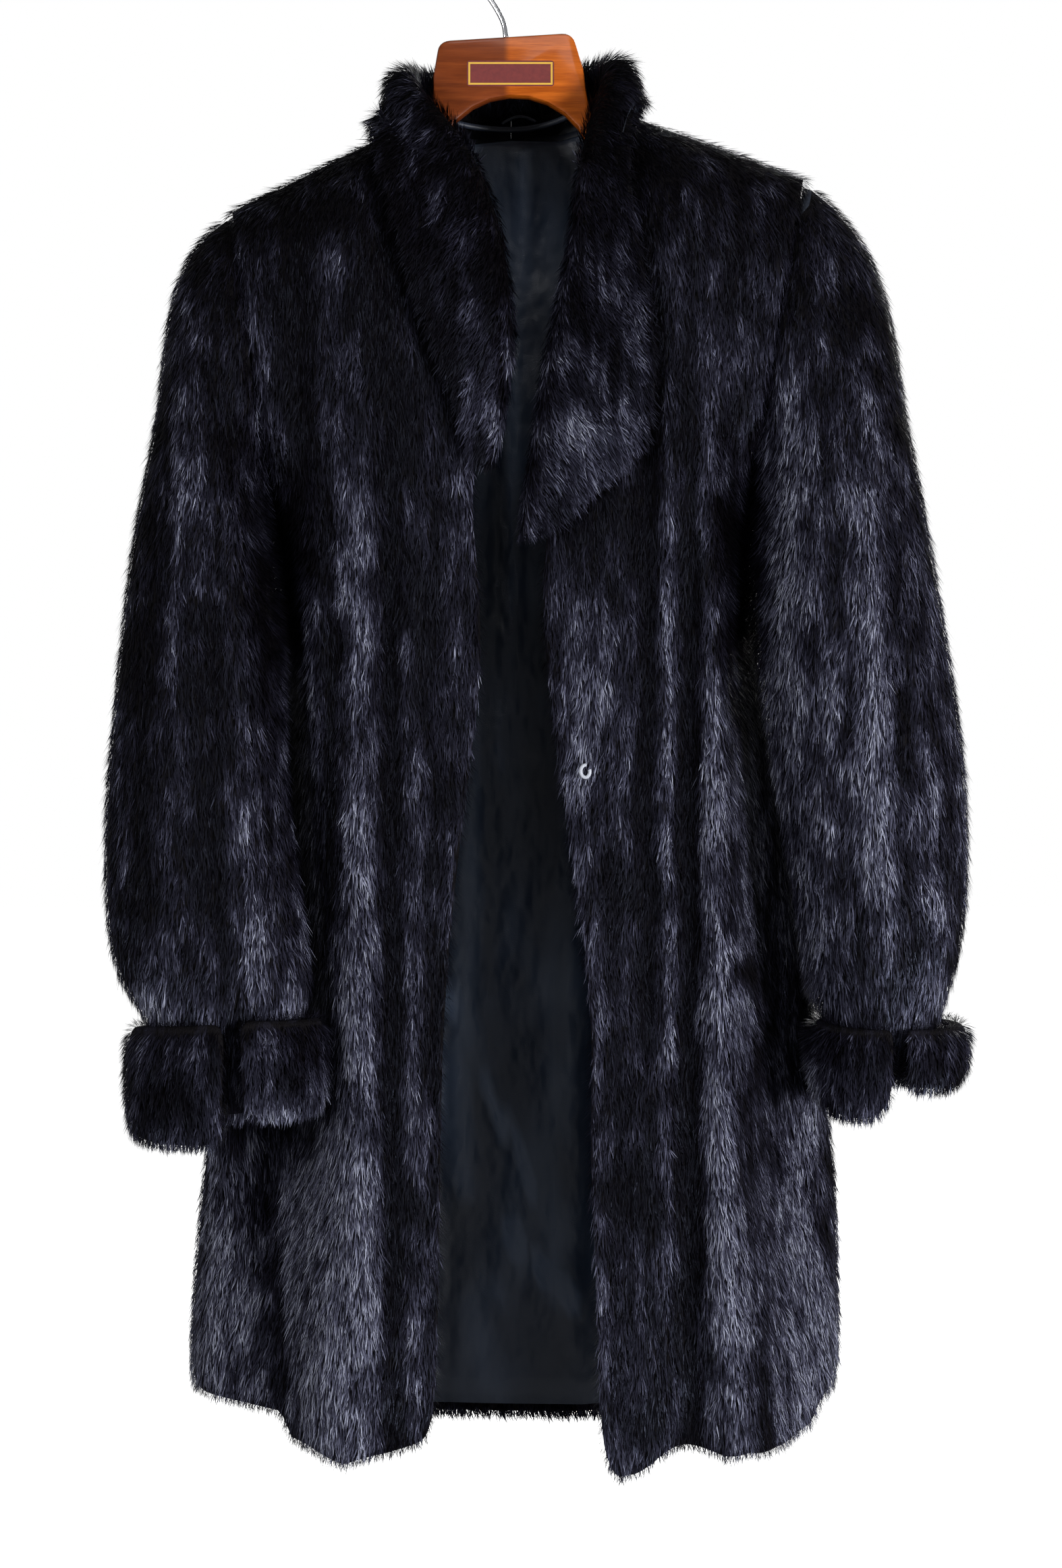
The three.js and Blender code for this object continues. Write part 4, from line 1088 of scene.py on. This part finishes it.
def soft_ripple(place):
    """How far a front's lining stands off, in metres."""
    return 0.0012 * (1 + noise.noise(Vector((place.x * 26, 3.0, place.z * 4))))


EDGE_PULL = 0.006  # at the edge itself, and less and less over EDGE_EASE
EDGE_EASE = 0.02
EDGE_BAND = 0.025  # the edge is found for each band of heights


def pull_from_front_edge(copy, side):
    """Ends a front's lining short of the fur's front edge. side is 1 for the wearer's left."""
    edges = {}
    for vertex in copy.verts:
        band = round(vertex.co.z / EDGE_BAND)
        edges[band] = max(edges.get(band, -1), -side * vertex.co.x)
    for vertex in copy.verts:
        behind = edges[round(vertex.co.z / EDGE_BAND)] + side * vertex.co.x
        vertex.co.x += side * EDGE_PULL * math.exp(-behind / EDGE_EASE)


def dress_in_satin(node, inward, rise_of):
    """Satin for one solid. inward is the direction along Y towards the wearer."""
    copy = merged_copy(node)
    bmesh.ops.join_triangles(copy, faces=copy.faces, **QUAD_LIMITS)
    bmesh.ops.subdivide_edges(copy, edges=copy.edges, cuts=2, use_grid_fill=True)
    if node != "lining_back":
        pull_from_front_edge(copy, 1 if node == "lining_left_front" else -1)
    hem = min(vertex.co.z for vertex in copy.verts)
    rises = copy.verts.layers.float.new("rise")
    for vertex in copy.verts:
        rise = rise_of(vertex.co)
        vertex[rises] = rise
        vertex.co.y += inward * rise
        near_hem = max(0.0, (-vertex.co.z - HEM_LIFT_START) / (-hem - HEM_LIFT_START))
        vertex.co.z += HEM_LIFT * near_hem
    for face in copy.faces:
        face.smooth = True
    mesh = bpy.data.meshes.new(node + "_satin")
    copy.to_mesh(mesh)
    copy.free()
    piece = link_piece(node + "_satin", mesh)
    mesh.materials.append(satin_finish)
    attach(piece, "root")
    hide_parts(node)


dress_in_satin("lining_back", -1, crease_rise)
dress_in_satin("lining_right_front", 1, soft_ripple)
dress_in_satin("lining_left_front", 1, soft_ripple)

# Neck trim
# A rolled satin edge covers the seam of collar and lining. A small loop of the same satin is
# sewn to it, to hang the coat by.
trim_finish, graph, place, shader = new_material("trim_satin", 0.5, 0.25)
twill = mottle(graph, place, (0.0006, 0.0006, 0.0006), 1.0)
stops = [(0.3, (0.004, 0.006, 0.011)), (0.7, (0.01, 0.013, 0.022))]
graph.feed(shader, "Base Color", (twill + 0.5).coloured(stops))


def smooth_piece(node, name, finish):
    """A finer copy of a solid, in its place."""
    copy = merged_copy(node)
    for face in copy.faces:
        face.smooth = True
    piece = rounded_piece(copy, name, [finish], 1)
    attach(piece, "root")
    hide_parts(node)


smooth_piece("neck_piping", "rolled_edge", trim_finish)
smooth_piece("hang_loop", "loop", trim_finish)

# Wire eye
# The closure's eye, sewn to the left front: a bent wire, wound closely with grey thread. The
# thread is one long curve round the wire.
thread_finish, graph, place, shader = new_material("wound_thread", 0.7)
fibres = mottle(graph, place, (0.0003, 0.0003, 0.0003), 2.0)
stops = [(0.25, (0.07, 0.075, 0.09)), (0.75, (0.21, 0.22, 0.25))]
graph.feed(shader, "Base Color", (fibres + 0.5).coloured(stops))

WINDINGS = 46
STEPS_PER_WINDING = 10
THREAD_RADIUS = 0.00022
EYE_GAP_ANGLE = 75
EYE_TURN = 300
eye_low, eye_high = (Vector(corner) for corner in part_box("fur_eye"))
eye_middle = (eye_low + eye_high) / 2
wire_radius = (eye_high.y - eye_low.y) / 2
half_width = (eye_high.x - eye_low.x) / 2 - wire_radius
half_height = (eye_high.z - eye_low.z) / 2 - wire_radius
thread_points = []
steps = WINDINGS * STEPS_PER_WINDING
for step in range(steps + 1):
    angle = math.radians(EYE_GAP_ANGLE + EYE_TURN * step / steps)
    ring = Vector((math.cos(angle) * half_width, 0, math.sin(angle) * half_height))
    outwards = Vector((math.cos(angle), 0, math.sin(angle)))
    wind = 2 * math.pi * WINDINGS * step / steps
    around = outwards * math.cos(wind) + Vector((0, 1, 0)) * math.sin(wind)
    thread_points.append(eye_middle + ring + around * (wire_radius - THREAD_RADIUS))
thread_curve = bpy.data.curves.new("wound_eye", "CURVE")
thread_curve.dimensions = "3D"
thread_curve.bevel_depth = THREAD_RADIUS
thread_curve.bevel_resolution = 1
spline = thread_curve.splines.new("POLY")
spline.points.add(len(thread_points) - 1)
for spot, thread_point in zip(spline.points, thread_points):
    spot.co = (*thread_point, 1)
thread_source = link_piece("wound_eye_curve", thread_curve)
eye = link_piece("wound_eye", baked(thread_source, "wound_eye"))
eye.data.materials.append(thread_finish)
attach(eye, "root")
smooth_piece("fur_eye", "eye_wire", thread_finish)

# Wooden hanger
# Two shaped arms glued to a hub block, stained darker on one side and thickly varnished.
JOIN_X = 0.0006
STAIN_BLEND = 0.003
wood_finish, graph, place, shader = new_material("varnished_wood", 0.34, 0.08)
across = graph.node("ShaderNodeSeparateXYZ", None, [place], "X")
grain = mottle(graph, place, (0.05, 0.006, 0.0032), 3.0, 2.0)
pores = mottle(graph, place, (0.01, 0.001, 0.0007), 2.0, 8.0)
stops = [(0.2, (0.06, 0.011, 0.0008)), (0.5, (0.105, 0.021, 0.001)), (0.8, (0.19, 0.046, 0.004))]
figure = grain * 0.7 + pores * 0.3
bright_wood = (figure + 0.56).coloured(stops)
stops = [(0.2, (0.02, 0.0035, 0.0008)), (0.5, (0.05, 0.01, 0.0018)), (0.8, (0.08, 0.018, 0.0035))]
red_wood = (figure + 0.5).coloured(stops)
side = (across - JOIN_X).between(-STAIN_BLEND, STAIN_BLEND)
wood_colour = graph.node(
    "ShaderNodeMix",
    {"data_type": "RGBA"},
    {"Factor": side, "A": red_wood, "B": bright_wood},
)
graph.feed(shader, "Base Color", wood_colour)
shader.inputs["Coat Weight"].default_value = 0.08
shader.inputs["Coat Roughness"].default_value = 0.12
graph.emboss(shader, grain, 0.1, 0.0004)

hanger_copy = merged_copy("hanger_body")
hanger_wood = bpy.data.meshes.new("hanger_wood")
for face in hanger_copy.faces:
    face.smooth = True
hanger_copy.to_mesh(hanger_wood)
hanger_shape = BVHTree.FromBMesh(hanger_copy)
hanger_copy.free()
hanger = link_piece("hanger_wood", hanger_wood)
hanger_wood.materials.append(wood_finish)
hanger_wood.set_sharp_from_angle(angle=math.radians(38))
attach(hanger, "root")
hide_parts("hanger_body")

# Hanger label
# A plain paper label stuck to the hub: a maroon field inside a thin gold border.
LABEL_MIDDLE = (0.003, -0.0945)
LABEL_HALF_WIDTH = 0.029
LABEL_HALF_HEIGHT = 0.0085
LABEL_CORNER = 0.0018
LABEL_LIFT = 0.00015
CORNER_STEPS = 4
BORDER = 0.0011
GOLD = (0.26, 0.16, 0.025, 1)
label_finish, graph, place, shader = new_material("printed_label", 0.5, 0.2)
label_x = graph.node("ShaderNodeSeparateXYZ", None, [place], "X") - LABEL_MIDDLE[0]
label_z = graph.node("ShaderNodeSeparateXYZ", None, [place], "Z") - LABEL_MIDDLE[1]
from_side = abs(label_x) - (LABEL_HALF_WIDTH - 2 * BORDER)
from_end = abs(label_z) - (LABEL_HALF_HEIGHT - 2 * BORDER)
from_edge = from_side.or_more(from_end)
on_border = from_edge.between(-0.0001, 0.0001) * (1 - from_edge.between(BORDER, BORDER + 0.0002))
paper = mottle(graph, place, (0.002, 0.002, 0.002), 2.0)
stops = [(0.3, (0.036, 0.0035, 0.0035)), (0.7, (0.052, 0.006, 0.005))]
field = (paper + 0.5).coloured(stops)
label_colour = graph.node(
    "ShaderNodeMix",
    {"data_type": "RGBA"},
    {"Factor": on_border, "A": field, "B": GOLD},
)
graph.feed(shader, "Base Color", label_colour)
graph.feed(shader, "Metallic", on_border * 0.6)
label_outline = []
for quarter, (sign_x, sign_z) in enumerate(((1, 1), (-1, 1), (-1, -1), (1, -1))):
    corner_x = LABEL_MIDDLE[0] + sign_x * (LABEL_HALF_WIDTH - LABEL_CORNER)
    corner_z = LABEL_MIDDLE[1] + sign_z * (LABEL_HALF_HEIGHT - LABEL_CORNER)
    for step in range(CORNER_STEPS + 1):
        angle = math.radians(90 * (quarter + step / CORNER_STEPS))
        x = corner_x + LABEL_CORNER * math.cos(angle)
        z = corner_z + LABEL_CORNER * math.sin(angle)
        label_outline.append((x, z))
before_hub = Vector((LABEL_MIDDLE[0], -1, LABEL_MIDDLE[1]))
front_of_hub = hanger_shape.ray_cast(before_hub, Vector((0, 1, 0)))[0].y
label_mesh = bpy.data.meshes.new("label")
label_points = [(x, front_of_hub - LABEL_LIFT, z) for x, z in label_outline]
label_points += [(x, front_of_hub + LABEL_LIFT, z) for x, z in label_outline]
count = len(label_outline)
label_faces = [tuple(reversed(range(count))), tuple(range(count, 2 * count))]
label_faces += [(i, (i + 1) % count, count + (i + 1) % count, count + i) for i in range(count)]
label_mesh.from_pydata(label_points, [], label_faces)
label_copy = bmesh.new()
label_copy.from_mesh(label_mesh)
bmesh.ops.recalc_face_normals(label_copy, faces=label_copy.faces)
label_copy.to_mesh(label_mesh)
label_copy.free()
label_mesh.materials.append(label_finish)
label = link_piece("hanger_label", label_mesh)
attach(label, "root")

# Hook
# Polished, plated steel wire, bent into a loop that rests on the rail. Its straight end is
# fixed in the hub.
wire_finish, graph, place, shader = new_material("plated_wire")
scuffs = mottle(graph, place, (0.002, 0.002, 0.01), 3.0)
shader.inputs["Metallic"].default_value = 1.0
shader.inputs["Base Color"].default_value = (0.66, 0.67, 0.7, 1)
graph.feed(shader, "Roughness", 0.16 + scuffs * 0.12)
smooth_piece("hanger_hook", "hook_wire", wire_finish)
